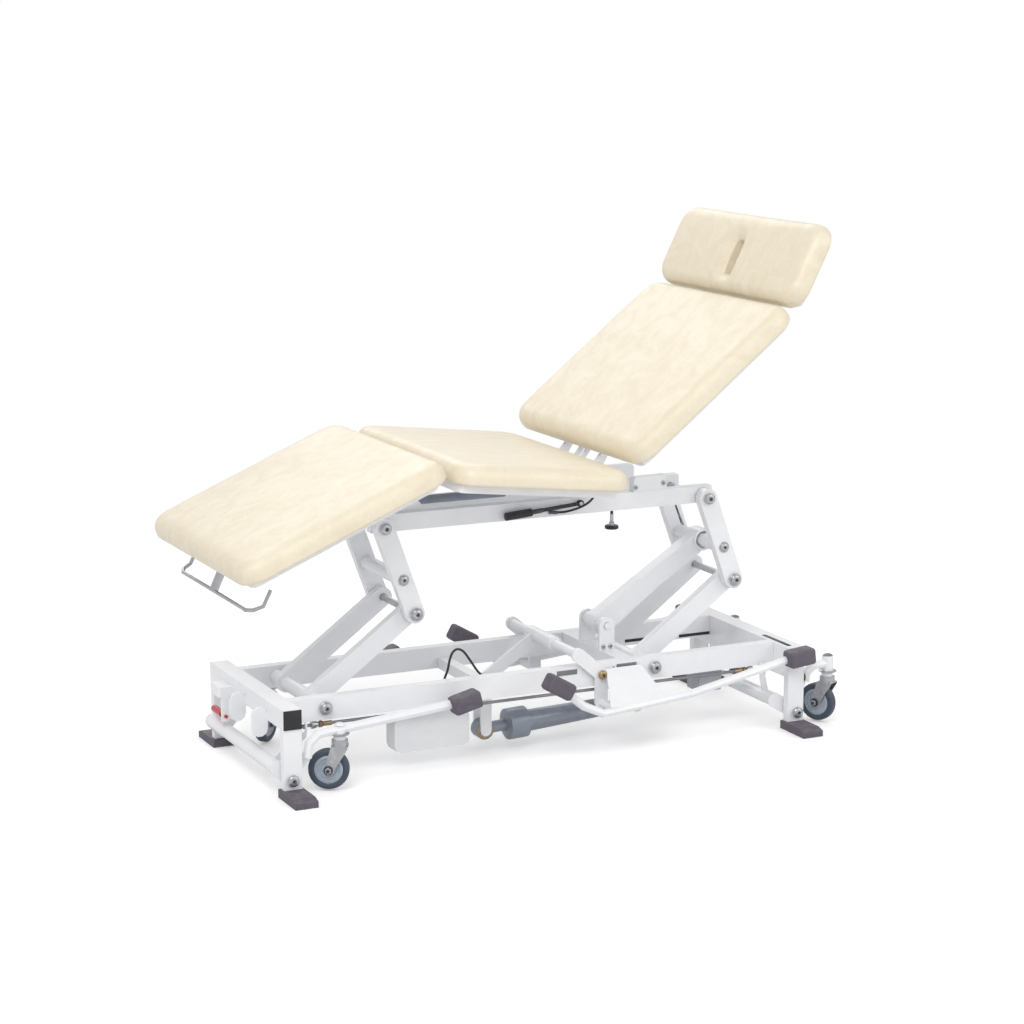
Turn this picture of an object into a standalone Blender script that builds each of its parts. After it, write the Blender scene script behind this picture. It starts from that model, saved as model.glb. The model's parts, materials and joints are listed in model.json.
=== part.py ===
"""Treatment table: a four-section padded top on a folding lift, a floor frame, and castors lowered by pedals.

Metres, +Z up. X runs from the foot end to the head end, Y from the near side to the far side.
Places along X are written from the foot shoes' outer edge, and one empty moves the whole to its centre.
"""

import math

import bmesh
import bpy
from mathutils import Matrix, Vector

MM = 0.001

# Clearances
SEAT_GAP = 0.3 * MM
RUN_GAP = 0.6 * MM
SIDE_GAP = 2.6 * MM
OVERRUN = 5 * MM
MERGE = 0.01 * MM

# The middle of the whole table, from the foot shoes' outer edge
MIDDLE_X = 718.2 * MM

# Floor frame
SHOE_LENGTH = 58 * MM
SHOE_HEIGHT = 21.6 * MM
SHOE_OUTER_Y = 348 * MM
SHOE_INNER_Y = 232 * MM
SHOE_SLOPE = 6 * MM
BEAM_WIDTH = 47 * MM
BEAM_START_X = 3 * MM
BEAM_HALF = 259 * MM
BEAM_TOP_Z = 219 * MM
FOOT_BEAM_HEIGHT = 49 * MM
HEAD_BEAM_HEIGHT = 80 * MM
HEAD_BEAM_X = 1399 * MM
POST_DEPTH = 22 * MM
RAIL_OUTER_Y = 182.5 * MM
RAIL_THICK = 30 * MM
RAIL_HEIGHT = 57 * MM
TAB_THICK = 8 * MM
TAB_WIDTH = 36 * MM
TAB_DROP = 56 * MM
TAB_Y = (-150 * MM, 5 * MM)
LATCH_BLOCK_Y = (100 * MM, 165 * MM)
LATCH_BLOCK_REACH = 34 * MM
LATCH_BLOCK_HEIGHT = 30 * MM

# Lift: bars with round ends between pivots
ARM_WIDTH = 50 * MM
ARM_THICK = 25 * MM
ARM_INNER_Y = 77 * MM
LINK_INNER_Y = 104.6 * MM
SHAFT_R = 9 * MM
BOLT_HEAD_R = 12 * MM
BOLT_HEAD_THICK = 6 * MM
PIVOT_TUBE_R = 18 * MM
FOOT_PIVOT = (140.4 * MM, 191.7 * MM)
PIVOT_SPACING = 904 * MM
ARM_REACH = (263 * MM, 193.9 * MM)
LINK_REACH = (-79.9 * MM, 220.8 * MM)
CROSS_TUBE_SHARE = 0.4
CROSS_TUBE_R = 18 * MM

# Middle arm of the head mechanism and its stand
STAND_PIVOT = (972 * MM, 280.8 * MM)
STAND_WIDTH = 44 * MM
STAND_PLATE = 10 * MM
STAND_OUTER_Y = 58.5 * MM
STAND_BAR_HEIGHT = 40 * MM
MIDDLE_ARM_HALF_Y = 20 * MM
MIDDLE_ARM_HEIGHT = 50 * MM
OPEN_PIVOT_GAP = 5.5 * MM
OPEN_BOSS_WALL = 6 * MM

# Actuator
ACTUATOR_Y = -89.5 * MM
ACTUATOR_EYE = (601.6 * MM, 59.4 * MM)
ACTUATOR_EYE_R = 25 * MM
ACTUATOR_EYE_HALF_Y = 17 * MM
ACTUATOR_EYE_BORE_R = 9 * MM
ACTUATOR_HOUSING_START = 62 * MM
ACTUATOR_HOUSING_R = 40 * MM
ACTUATOR_HOUSING_LENGTH = 62 * MM
ACTUATOR_TUBE_R = 28 * MM
ACTUATOR_TUBE_END_R = 24 * MM
ACTUATOR_TUBE_LENGTH = 206 * MM
ACTUATOR_NECK_R = 15 * MM
ACTUATOR_ROD_R = 12 * MM
ACTUATOR_ROD_INSIDE = 70 * MM
ACTUATOR_BORE_DEPTH = 130 * MM
CRANK_DROP = 110.7 * MM
CRANK_THICK = 10 * MM
CRANK_PIN_R = 6 * MM
CRANK_PIN_PLAY = 2.6 * MM
CRANK_SLOT_REACH = 13 * MM
CRANK_WALL = 9 * MM
FORK_LENGTH = 60 * MM
FORK_HALF_Y = 14 * MM
FORK_HEIGHT = 30 * MM
MOUNT_BAR_WIDTH = 30 * MM
MOUNT_BAR_HEIGHT = 28 * MM
MOUNT_PLATE = 6 * MM

# Boxes and wires under the frame
CONTROL_BOX_X = (335 * MM, 537 * MM)
CONTROL_BOX_Y = (-152 * MM, -98 * MM)
CONTROL_BOX_BOTTOM_Z = 43 * MM
CONTROL_BOX_TOP_Z = 134 * MM
CONTROL_BOX_CORNER = 16 * MM
JUNCTION_X = (1190 * MM, 1262 * MM)
JUNCTION_Y = (-151 * MM, -96 * MM)
JUNCTION_HEIGHT = 62 * MM
JUNCTION_CORNER = 5 * MM
HANGER_THICK = 4 * MM

# Height rocker: pedal tubes outside the rails, cranks on the rail bolts and a cross tube over the rails
ROCKER_PIVOT = (886 * MM, 193 * MM)
ROCKER_PLATE_Y = 187 * MM
ROCKER_PLATE = 9 * MM
ROCKER_PLATE_WIDTH = 36 * MM
ROCKER_CROSS = (820 * MM, 250 * MM)
ROCKER_CROSS_R = 12.5 * MM
ROCKER_SLEEVE_R = 19 * MM
ROCKER_SLEEVE_Y = (-60 * MM, 80 * MM)
ROCKER_TUBE_R = 11 * MM
ROCKER_TUBE_Y = 277 * MM
ROCKER_TUBE = ((726 * MM, 198 * MM), (792 * MM, 142 * MM), (848 * MM, 116 * MM), (1100 * MM, 138 * MM),
               (1407 * MM, 200 * MM))
ROCKER_LOW = (886 * MM, 120 * MM)
GUSSET_TOP_X = (900 * MM, 1000 * MM)
GUSSET_LOW_X = (868 * MM, 1035 * MM)
GUSSET_TOP_Z = 206 * MM
GUSSET_LOW_Z = 131 * MM
GUSSET_PLATE = 5 * MM
STRUT_TIP = (662 * MM, 145 * MM)
STRUT_Y = (38 * MM, 46 * MM)
STRUT_WIDTH = 34 * MM
ROCKER_BOLT_R = 7 * MM

# Pedals: rubber shoes over the tube ends
PEDAL_LENGTH = 76 * MM
PEDAL_WIDTH = 49 * MM
PEDAL_OUTWARD = 9 * MM
PEDAL_HEIGHT = 44 * MM
PEDAL_CORNER = 9 * MM
PEDAL_OVERLAP = 30 * MM
FOOT_PEDAL_TILT = math.radians(-14)
ROCKER_PEDAL_TILT = math.radians(30)
HEAD_PEDAL_TILT = math.radians(-6)

# Castor bars
CASTOR_PIVOT_Z = 45.5 * MM
FOOT_CASTOR_PIVOT_X = 25 * MM
HEAD_CASTOR_PIVOT_X = 1426.7 * MM
CASTOR_PIVOT_R = 8 * MM
CASTOR_LUG_Y = 226 * MM
CASTOR_LUG = 8 * MM
CASTOR_LUG_WIDTH = 38 * MM
CASTOR_ARM_WIDTH = {"foot": 24 * MM, "head": 17 * MM}
CASTOR_TUBE_R = 12 * MM
CASTOR_TUBE_Y = 240 * MM
FOOT_CROSS = (-4 * MM, 73.4 * MM)
HEAD_CROSS = (1374 * MM, 78 * MM)
CROSS_R = 17.5 * MM
FOOT_SIDE_TUBE = ((70 * MM, 92 * MM), (76 * MM, 126 * MM), (100 * MM, 147 * MM), (160 * MM, 152 * MM),
                  (474 * MM, 181 * MM))
HEAD_SIDE_TUBE = ((1462 * MM, 120 * MM), (1466 * MM, 144 * MM), (1484 * MM, 159 * MM), (1530 * MM, 163 * MM))
FOOT_CASTOR_X = 154 * MM
HEAD_CASTOR_X = 1530 * MM
CASTOR_BOSS_R = 15 * MM
FOOT_BOSS_TOP_Z = 150 * MM
HEAD_BOSS_TOP_Z = 182 * MM
ROD_R = 4 * MM
ROD_Y = -177.5 * MM
ROD_Z = 152 * MM
ROD_FOOT_X = 80 * MM
ROD_HEAD_X = 1362 * MM
ROD_PIN_R = 3 * MM
ROD_LUG_Y = -187 * MM
ROD_LUG = 6 * MM
ROD_SLOT_HALF = 9 * MM
ROD_SLOT_PLAY = 1.6 * MM
ROD_LUG_WALL = 5 * MM

# Castors
WHEEL_R = 50 * MM
WHEEL_HALF = 13 * MM
WHEEL_LIFT = 4 * MM
TYRE_THICK = 12 * MM
HUB_SINK = 3 * MM
AXLE_R = 4 * MM
FORK_TOP_Z = 127 * MM
FORK_PLATE = 3 * MM
FORK_LEG_WIDTH = 26 * MM
FORK_BEARING_R = 20 * MM
FORK_BEARING_HEIGHT = 14 * MM
STEM_R = 6 * MM
STEM_HEIGHT = 16 * MM
TRAIL = 27 * MM
CASTORS = {
    "foot_near": (-1, math.radians(153)), "foot_far": (1, math.radians(-135)),
    "head_near": (-1, math.radians(118)), "head_far": (1, math.radians(-118)),
}

# Upper frame
TOP_RAIL_INNER_Y = 72 * MM
TOP_RAIL_THICK = 30 * MM
TOP_RAIL_BOTTOM_Z = 592 * MM
TOP_RAIL_HEIGHT = 43 * MM
TOP_RAIL_END = 24.5 * MM
TOP_CROSS_X = (420 * MM, 1010 * MM, 1150 * MM)
TOP_CROSS_WIDTH = 30 * MM
BRACKET_Y = 84 * MM
BRACKET_THICK = 8 * MM
BRACKET_FOOT_LENGTH = 90 * MM
KNEE = (371.5 * MM, 703 * MM)
BACK_HINGE = (915 * MM, 708 * MM)
HEAD_HINGE = (1370 * MM, 1072.6 * MM)
HINGE_PIN_R = 6 * MM
HINGE_EYE_R = 14 * MM
HINGE_HEAD_THICK = 4 * MM
BOX_X = (1025 * MM, 1118 * MM)
BOX_HEIGHT = 42 * MM

# Gas spring under the seat
GAS_Z = 643 * MM
GAS_CYLINDER_R = 11 * MM
GAS_CYLINDER_X = (436 * MM, 706 * MM)
GAS_ROD_R = 4.5 * MM
GAS_ROD_INSIDE = 62 * MM
GAS_BORE_DEPTH = 118 * MM
GAS_EYE_LENGTH = 16 * MM
GAS_PIN_R = 4 * MM
GAS_PIN_PLAY = 3 * MM
GAS_SLOT_REACH = 9 * MM
GAS_CRANK_Y = 14 * MM
GAS_CRANK = 6 * MM
GAS_CRANK_LEAN = math.radians(6)

# Padded sections, each by its angle and the place of its pad on its hinge
PAD_HALF_Y = 349.5 * MM
PAD_THICK = 50 * MM
PAD_CORNER = 58 * MM
PAD_EDGE = 19 * MM
PAD_SIDES = 4
BOARD_HALF_Y = 318 * MM
BOARD_THICK = 20 * MM
BOARD_MARGIN = 16 * MM
BOARD_CORNER = 20 * MM
LUG_THICK = 8 * MM
SEAT_LUG_Y = 62 * MM
LEG_LUG_Y = 94 * MM
BACK_LUG_Y = 94 * MM
HEAD_LUG_Y = 108 * MM
SEAT_ANGLE = math.radians(-6.45)
SEAT_START = 47 * MM
SEAT_LENGTH = 467 * MM
LEG_ANGLE = math.radians(22.85)
LEG_START = 44 * MM
LEG_LENGTH = 546 * MM
KNEE_DEPTH = 41.6 * MM
BACK_ANGLE = math.radians(38.5)
BACK_START = 19.6 * MM
BACK_DEPTH = 34.4 * MM
BACK_END_MARGIN = 8.5 * MM
HEAD_ANGLE = math.radians(63.05)
HEAD_START = 22 * MM
HEAD_DEPTH = 30 * MM
HEAD_LENGTH = 219 * MM
NOSE_SLOT_LENGTH = 106 * MM
NOSE_SLOT_WIDTH = 27 * MM
NOSE_SLOT_START = 38 * MM

# Small controls
LEVER_PIVOT = (863 * MM, 622 * MM)
LEVER_Y = -116 * MM
LEVER_R = 5 * MM
LEVER_GRIP_R = 10 * MM
LEVER_GRIP_END = (654 * MM, 605 * MM)
LEVER_GRIP_LENGTH = 72 * MM
LEVER_EYE_R = 9 * MM
LEVER_STUD = 14 * MM
KNOB_X = 968 * MM
KNOB_Y = -87 * MM
KNOB_STEM_R = 4 * MM
KNOB_STEM_LENGTH = 45 * MM
KNOB_R = 17 * MM
KNOB_HEIGHT = 9 * MM
LOCK_FROM = (-14 * MM, 98 * MM, 118 * MM)
LOCK_LENGTH = 62 * MM
LOCK_R = 9 * MM
LOCK_STEM_R = 4 * MM
LOCK_STEM_LENGTH = 26 * MM
CABLE_R = 3 * MM
CABLE_ROUTE = (
    (0.780, -0.1050, 0.6050), (0.790, -0.1085, 0.6040), (0.802, -0.1130, 0.6035), (0.816, -0.1190, 0.6045),
    (0.832, -0.1250, 0.6080), (0.850, -0.1300, 0.6135), (0.868, -0.1330, 0.6210), (0.884, -0.1320, 0.6300),
    (0.896, -0.1260, 0.6390), (0.904, -0.1160, 0.6460), (0.908, -0.1055, 0.6500),
)
BASE_CABLE_R = 3 * MM
BASE_CABLE_ROUTE = (
    (0.4700, -0.1250, 0.1350), (0.4705, -0.1262, 0.1600), (0.4730, -0.1275, 0.1850), (0.4790, -0.1285, 0.2100),
    (0.4885, -0.1290, 0.2340), (0.4945, -0.1290, 0.2600), (0.5030, -0.1285, 0.2780), (0.5170, -0.1270, 0.2840),
    (0.5330, -0.1250, 0.2760), (0.5470, -0.1225, 0.2590), (0.5610, -0.1205, 0.2390), (0.5750, -0.1190, 0.2190),
    (0.5900, -0.1178, 0.2050), (0.6000, -0.1175, 0.1980),
)

# Bail at the foot of the leg section
BAIL_R = 5 * MM
BAIL_HALF = 262 * MM
BAIL_CORNER = 34 * MM
BAIL_DEPTH = 66 * MM
BAIL_DROP = 60 * MM
BAIL_PIVOT_FROM_END = 66 * MM
BAIL_PLATE_HALF = 19 * MM
BAIL_PLATE = 4 * MM
BAIL_EYE_R = 8 * MM

# Node counts of facets
ROUND = 16
COARSE = 10
WHEEL_SIDES = 26

COLOURS = {
    "white_frame": ((0.86, 0.86, 0.87), 0.35, 0.0),
    "cream_vinyl": ((0.86, 0.76, 0.58), 0.5, 0.0),
    "grey_rubber": ((0.16, 0.14, 0.17), 0.6, 0.0),
    "black_plastic": ((0.03, 0.03, 0.035), 0.5, 0.0),
    "zinc_steel": ((0.62, 0.62, 0.64), 0.3, 1.0),
    "blue_tyre": ((0.09, 0.12, 0.17), 0.55, 0.0),
    "actuator_grey": ((0.42, 0.46, 0.52), 0.4, 0.6),
    "white_plastic": ((0.88, 0.88, 0.87), 0.4, 0.0),
    "grey_plastic": ((0.50, 0.50, 0.53), 0.45, 0.0),
    "red_plastic": ((0.65, 0.03, 0.04), 0.4, 0.0),
}


def clear_scene():
    """Remove what the start-up scene holds."""
    for item in list(bpy.data.objects):
        bpy.data.objects.remove(item)


def make_materials():
    """One Principled material for each finish."""
    made = {}
    for name, (colour, roughness, metallic) in COLOURS.items():
        material = bpy.data.materials.new(name)
        material.use_nodes = True
        shader = material.node_tree.nodes["Principled BSDF"]
        shader.inputs["Base Color"].default_value = (*colour, 1)
        shader.inputs["Roughness"].default_value = roughness
        shader.inputs["Metallic"].default_value = metallic
        made[name] = material
    return made


def new_collection(name):
    made = bpy.data.collections.new(name)
    bpy.context.scene.collection.children.link(made)
    return made


clear_scene()
MATERIALS = make_materials()
TABLE = new_collection("treatment_table")
WORKSHOP = new_collection("workshop")
BODIES = {}


def add_body(name, point=(0, 0, 0), parent=None):
    """An empty on the body's own axis; everything of that body hangs on it."""
    empty = bpy.data.objects.new(f"{name}_axis", None)
    empty.empty_display_size = 10 * SEAT_GAP
    TABLE.objects.link(empty)
    place = Vector(point)
    if parent:
        empty.parent = BODIES[parent][0]
        empty.location = place - BODIES[parent][1]
    else:
        empty.location = place - Vector((MIDDLE_X, 0, 0))
    BODIES[name] = (empty, place)


def scratch(mesh):
    """A loose object that a modifier can work on."""
    item = bpy.data.objects.new("blank", mesh)
    WORKSHOP.objects.link(item)
    return item


def evaluated(item):
    """The object's mesh with its modifiers applied; the object goes."""
    graph = bpy.context.evaluated_depsgraph_get()
    mesh = bpy.data.meshes.new_from_object(item.evaluated_get(graph))
    mesh.transform(item.matrix_world)
    bpy.data.objects.remove(item)
    return mesh


def from_bmesh(work):
    mesh = bpy.data.meshes.new("blank")
    work.to_mesh(mesh)
    work.free()
    return mesh


def block(low, high, bevel=0, segments=2, edges=None):
    """A box between two corners; edges picks the axis whose edges are rounded, or all of them."""
    work = bmesh.new()
    bmesh.ops.create_cube(work, size=1)
    low, high = Vector(low), Vector(high)
    bmesh.ops.scale(work, verts=work.verts, vec=high - low)
    bmesh.ops.translate(work, verts=work.verts, vec=(low + high) / 2)
    if bevel:
        chosen = list(work.edges)
        if edges is not None:
            chosen = [e for e in chosen if abs((e.verts[0].co - e.verts[1].co)[edges]) > MERGE]
        bmesh.ops.bevel(work, geom=chosen, offset=bevel, segments=segments, affect="EDGES", profile=0.5)
    return from_bmesh(work)


def rod(start, end, radius, sides=ROUND, end_radius=None):
    """A round bar between two points."""
    start, end = Vector(start), Vector(end)
    work = bmesh.new()
    bmesh.ops.create_cone(work, cap_ends=True, segments=sides, radius1=radius,
                          radius2=radius if end_radius is None else end_radius, depth=(end - start).length)
    turn = (end - start).to_track_quat("Z", "X").to_matrix().to_4x4()
    bmesh.ops.transform(work, verts=work.verts, matrix=Matrix.Translation((start + end) / 2) @ turn)
    return from_bmesh(work)


def cross_rod(point, half, radius, sides=ROUND, start=None):
    """A round bar along Y through a point of the X-Z plane."""
    first = -half if start is None else start
    return rod((point[0], first, point[1]), (point[0], half, point[1]), radius, sides)


def cleaned(mesh):
    """A curve's caps welded to its sides."""
    work = bmesh.new()
    work.from_mesh(mesh)
    bmesh.ops.remove_doubles(work, verts=work.verts, dist=MERGE)
    bmesh.ops.recalc_face_normals(work, faces=work.faces)
    return from_bmesh(work)


def add_spline(curve, points, cyclic):
    spline = curve.splines.new("POLY")
    spline.points.add(len(points) - 1)
    for knot, point in zip(spline.points, points):
        knot.co = (*Vector(point).to_3d(), 1)
    spline.use_cyclic_u = cyclic


def plate(outline, low_y, high_y, holes=()):
    """A flat plate in the X-Z plane between two Y planes, with holes; the outlines are lists of (x, z)."""
    curve = bpy.data.curves.new("outline", "CURVE")
    curve.dimensions = "2D"
    curve.fill_mode = "BOTH"
    curve.extrude = (high_y - low_y) / 2
    for loop in (outline, *holes):
        add_spline(curve, loop, True)
    item = bpy.data.objects.new("outline", curve)
    WORKSHOP.objects.link(item)
    item.matrix_world = Matrix.Translation((0, (low_y + high_y) / 2, 0)) @ Matrix.Rotation(math.pi / 2, 4, "X")
    bpy.context.view_layer.update()
    return cleaned(evaluated(item))


def circle(centre, radius, sides=ROUND):
    return [(centre[0] + radius * math.cos(math.tau * i / sides),
             centre[1] + radius * math.sin(math.tau * i / sides)) for i in range(sides)]


def slot_outline(first, last, radius, sides=ROUND):
    """The outline of a bar with round ends between two centres."""
    along = math.atan2(last[1] - first[1], last[0] - first[0])
    half = sides // 2
    points = []
    for centre, turn in ((last, -math.pi / 2), (first, math.pi / 2)):
        for i in range(half + 1):
            angle = along + turn + math.pi * i / half
            points.append((centre[0] + radius * math.cos(angle), centre[1] + radius * math.sin(angle)))
    return points


def smooth_route(points, steps):
    """Points on a smooth curve through the given ones."""
    points = [Vector(p) for p in points]
    route = []
    for i in range(len(points) - 1):
        before = points[max(i - 1, 0)]
        first, last = points[i], points[i + 1]
        after = points[min(i + 2, len(points) - 1)]
        for step in range(steps):
            t = step / steps
            route.append(0.5 * (2 * first + (last - before) * t
                                + (2 * before - 5 * first + 4 * last - after) * t ** 2
                                + (3 * first - before - 3 * last + after) * t ** 3))
    route.append(points[-1])
    return route


def wire(points, radius, resolution=2, cyclic=False):
    """A round wire or tube along points."""
    curve = bpy.data.curves.new("route", "CURVE")
    curve.dimensions = "3D"
    curve.bevel_depth = radius
    curve.bevel_resolution = resolution
    curve.use_fill_caps = True
    add_spline(curve, points, cyclic)
    item = bpy.data.objects.new("route", curve)
    WORKSHOP.objects.link(item)
    return cleaned(evaluated(item))


def turned(profile, start, direction, sides=ROUND):
    """A profile of (along, radius) pairs turned about a line; its ends lie on the line."""
    mesh = bpy.data.meshes.new("profile")
    mesh.from_pydata([(r, 0, -a) for a, r in profile], [(i, i + 1) for i in range(len(profile) - 1)], [])
    item = scratch(mesh)
    screw = item.modifiers.new("turn", "SCREW")
    screw.steps = screw.render_steps = sides
    screw.use_merge_vertices = True
    screw.merge_threshold = MERGE
    made = cleaned(evaluated(item))
    made.transform(Matrix.Rotation(math.pi, 4, "X"))
    turn = Vector(direction).to_track_quat("Z", "X").to_matrix().to_4x4()
    made.transform(Matrix.Translation(start) @ turn)
    return made


def boolean(base, others, operation):
    """One mesh joined with, or cut by, the others in turn."""
    for other in others:
        item, tool = scratch(base), scratch(other)
        change = item.modifiers.new(operation.lower(), "BOOLEAN")
        change.operation = operation
        change.solver = "EXACT"
        change.object = tool
        base = evaluated(item)
        bpy.data.objects.remove(tool)
    return base


def joined(*meshes):
    return boolean(meshes[0], meshes[1:], "UNION")


def cut(mesh, *tools):
    return boolean(mesh, tools, "DIFFERENCE")


def mirrored(mesh):
    """A copy on the other side of the X-Z plane."""
    work = bmesh.new()
    work.from_mesh(mesh)
    bmesh.ops.scale(work, verts=work.verts, vec=(1, -1, 1))
    bmesh.ops.reverse_faces(work, faces=work.faces)
    return from_bmesh(work)


def add_piece(name, mesh, material, body):
    """The finished piece, with its origin on its body's axis."""
    empty, place = BODIES[body]
    mesh.name = name
    mesh.transform(Matrix.Translation(-place))
    mesh.materials.clear()
    mesh.materials.append(MATERIALS[material])
    mesh.shade_smooth()
    mesh.set_sharp_from_angle(angle=math.radians(35))
    item = bpy.data.objects.new(name, mesh)
    item.parent = empty
    TABLE.objects.link(item)
    return item


def add_points(first, second):
    return (first[0] + second[0], first[1] + second[1])


def turned_by(vector, angle):
    """A vector of the X-Z plane turned from X towards Z."""
    return (vector[0] * math.cos(angle) - vector[1] * math.sin(angle),
            vector[0] * math.sin(angle) + vector[1] * math.cos(angle))


# Places worked out from the driving sizes
HEAD_PIVOT = add_points(FOOT_PIVOT, (PIVOT_SPACING, 0))
FOOT_LOW = add_points(FOOT_PIVOT, ARM_REACH)
HEAD_LOW = add_points(HEAD_PIVOT, ARM_REACH)
FOOT_TOP = add_points(FOOT_LOW, LINK_REACH)
HEAD_TOP = add_points(HEAD_LOW, LINK_REACH)
TOP_RAIL_X = (FOOT_TOP[0] - TOP_RAIL_END, HEAD_TOP[0] + TOP_RAIL_END)
FOOT_MID = add_points(FOOT_LOW, (LINK_REACH[0] * CROSS_TUBE_SHARE, LINK_REACH[1] * CROSS_TUBE_SHARE))
HEAD_MID = add_points(HEAD_LOW, (LINK_REACH[0] * CROSS_TUBE_SHARE, LINK_REACH[1] * CROSS_TUBE_SHARE))
ARM_OUTER_Y = ARM_INNER_Y + ARM_THICK
LINK_OUTER_Y = LINK_INNER_Y + ARM_THICK
RAIL_INNER_Y = RAIL_OUTER_Y - RAIL_THICK
RAIL_BOTTOM_Z = BEAM_TOP_Z - RAIL_HEIGHT
FOOT_BEAM_END_X = BEAM_START_X + BEAM_WIDTH
TOP_RAIL_OUTER_Y = TOP_RAIL_INNER_Y + TOP_RAIL_THICK
TOP_RAIL_TOP_Z = TOP_RAIL_BOTTOM_Z + TOP_RAIL_HEIGHT
BORE_R = SHAFT_R + RUN_GAP
WHEEL_Z = WHEEL_R + WHEEL_LIFT
FOOT_CASTOR_PIVOT = (FOOT_CASTOR_PIVOT_X, CASTOR_PIVOT_Z)
HEAD_CASTOR_PIVOT = (HEAD_CASTOR_PIVOT_X, CASTOR_PIVOT_Z)
CRANK_PIN = (HEAD_PIVOT[0], HEAD_PIVOT[1] - CRANK_DROP)
ACTUATOR_LINE = Vector((CRANK_PIN[0] - ACTUATOR_EYE[0], 0, CRANK_PIN[1] - ACTUATOR_EYE[1])).normalized()


def add_bodies():
    """One empty for each moving body, on its axis."""
    add_body("base")
    add_body("foot_arms", (FOOT_PIVOT[0], 0, FOOT_PIVOT[1]), "base")
    add_body("foot_links", (FOOT_LOW[0], 0, FOOT_LOW[1]), "foot_arms")
    add_body("upper_frame", (FOOT_TOP[0], 0, FOOT_TOP[1]), "foot_links")
    add_body("head_arms", (HEAD_PIVOT[0], 0, HEAD_PIVOT[1]), "base")
    add_body("head_links", (HEAD_LOW[0], 0, HEAD_LOW[1]), "head_arms")
    add_body("middle_arm", (STAND_PIVOT[0], 0, STAND_PIVOT[1]), "base")
    add_body("actuator_rod", (CRANK_PIN[0], ACTUATOR_Y, CRANK_PIN[1]), "base")
    add_body("seat", (KNEE[0], 0, KNEE[1]), "upper_frame")
    add_body("leg", (KNEE[0], 0, KNEE[1]), "upper_frame")
    add_body("back", (BACK_HINGE[0], 0, BACK_HINGE[1]), "upper_frame")
    add_body("head", (HEAD_HINGE[0], 0, HEAD_HINGE[1]), "back")
    add_body("gas_rod", (BACK_HINGE[0], 0, GAS_Z), "upper_frame")
    add_body("lever", (LEVER_PIVOT[0], 0, LEVER_PIVOT[1]), "upper_frame")
    add_body("knob", (KNOB_X, KNOB_Y, TOP_RAIL_BOTTOM_Z), "upper_frame")
    add_body("foot_castor_bar", (FOOT_CASTOR_PIVOT[0], 0, FOOT_CASTOR_PIVOT[1]), "base")
    add_body("head_castor_bar", (HEAD_CASTOR_PIVOT[0], 0, HEAD_CASTOR_PIVOT[1]), "base")
    add_body("castor_rod", (ROD_FOOT_X, ROD_Y, ROD_Z), "base")
    add_body("rocker", (ROCKER_PIVOT[0], 0, ROCKER_PIVOT[1]), "base")
    add_body("lock", LOCK_FROM, "base")


def make_end_frame(beam_x, beam_height, pivot_x, extras=()):
    """A cross beam with a post at each end, bored for the castor bar's pivot bolts."""
    pieces = [block((beam_x, -BEAM_HALF, BEAM_TOP_Z - beam_height), (beam_x + BEAM_WIDTH, BEAM_HALF, BEAM_TOP_Z))]
    for side in (-1, 1):
        inner, outer = side * (BEAM_HALF - POST_DEPTH), side * BEAM_HALF
        pieces.append(plate(
            [(beam_x, SHOE_HEIGHT + SEAT_GAP), (beam_x + BEAM_WIDTH, SHOE_HEIGHT + SEAT_GAP),
             (beam_x + BEAM_WIDTH, BEAM_TOP_Z - beam_height / 2), (beam_x, BEAM_TOP_Z - beam_height / 2)],
            min(inner, outer), max(inner, outer)))
    frame = joined(*pieces, *extras)
    return joined(frame, *(cross_rod((pivot_x, CASTOR_PIVOT_Z), BEAM_HALF + BOLT_HEAD_THICK, CASTOR_PIVOT_R, COARSE,
                                     start=CASTOR_LUG_Y - BOLT_HEAD_THICK / 2) if side > 0
                           else mirrored(cross_rod((pivot_x, CASTOR_PIVOT_Z), BEAM_HALF + BOLT_HEAD_THICK,
                                                   CASTOR_PIVOT_R, COARSE,
                                                   start=CASTOR_LUG_Y - BOLT_HEAD_THICK / 2))
                           for side in (-1, 1)))


def make_foot_extras():
    """Tabs and the latch block that stand out from the foot beam."""
    pieces = []
    tab_x = BEAM_START_X - TAB_WIDTH / 2
    for tab_y in TAB_Y:
        pieces.append(plate(
            slot_outline((tab_x, BEAM_TOP_Z - TAB_WIDTH), (tab_x, BEAM_TOP_Z - FOOT_BEAM_HEIGHT - TAB_DROP + TAB_WIDTH),
                         TAB_WIDTH / 2 + OVERRUN / 2, COARSE), tab_y, tab_y + TAB_THICK))
    pieces.append(block((BEAM_START_X - LATCH_BLOCK_REACH, LATCH_BLOCK_Y[0], BEAM_TOP_Z - FOOT_BEAM_HEIGHT - OVERRUN),
                        (BEAM_START_X + OVERRUN, LATCH_BLOCK_Y[1],
                         BEAM_TOP_Z - FOOT_BEAM_HEIGHT - OVERRUN + LATCH_BLOCK_HEIGHT), SEAT_GAP * 10, 1))
    hanger_low = LOCK_FROM[2] - LOCK_STEM_R - 2 * OVERRUN
    pieces.append(plate(
        [(LOCK_FROM[0] - 2 * OVERRUN, hanger_low), (LOCK_FROM[0] + 2 * OVERRUN, hanger_low),
         (LOCK_FROM[0] + 2 * OVERRUN, BEAM_TOP_Z - FOOT_BEAM_HEIGHT),
         (LOCK_FROM[0] - 2 * OVERRUN, BEAM_TOP_Z - FOOT_BEAM_HEIGHT)],
        LATCH_BLOCK_Y[0], LATCH_BLOCK_Y[0] + TAB_THICK,
        [circle((LOCK_FROM[0], LOCK_FROM[2]), LOCK_STEM_R + RUN_GAP, COARSE)]))
    return pieces


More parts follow.
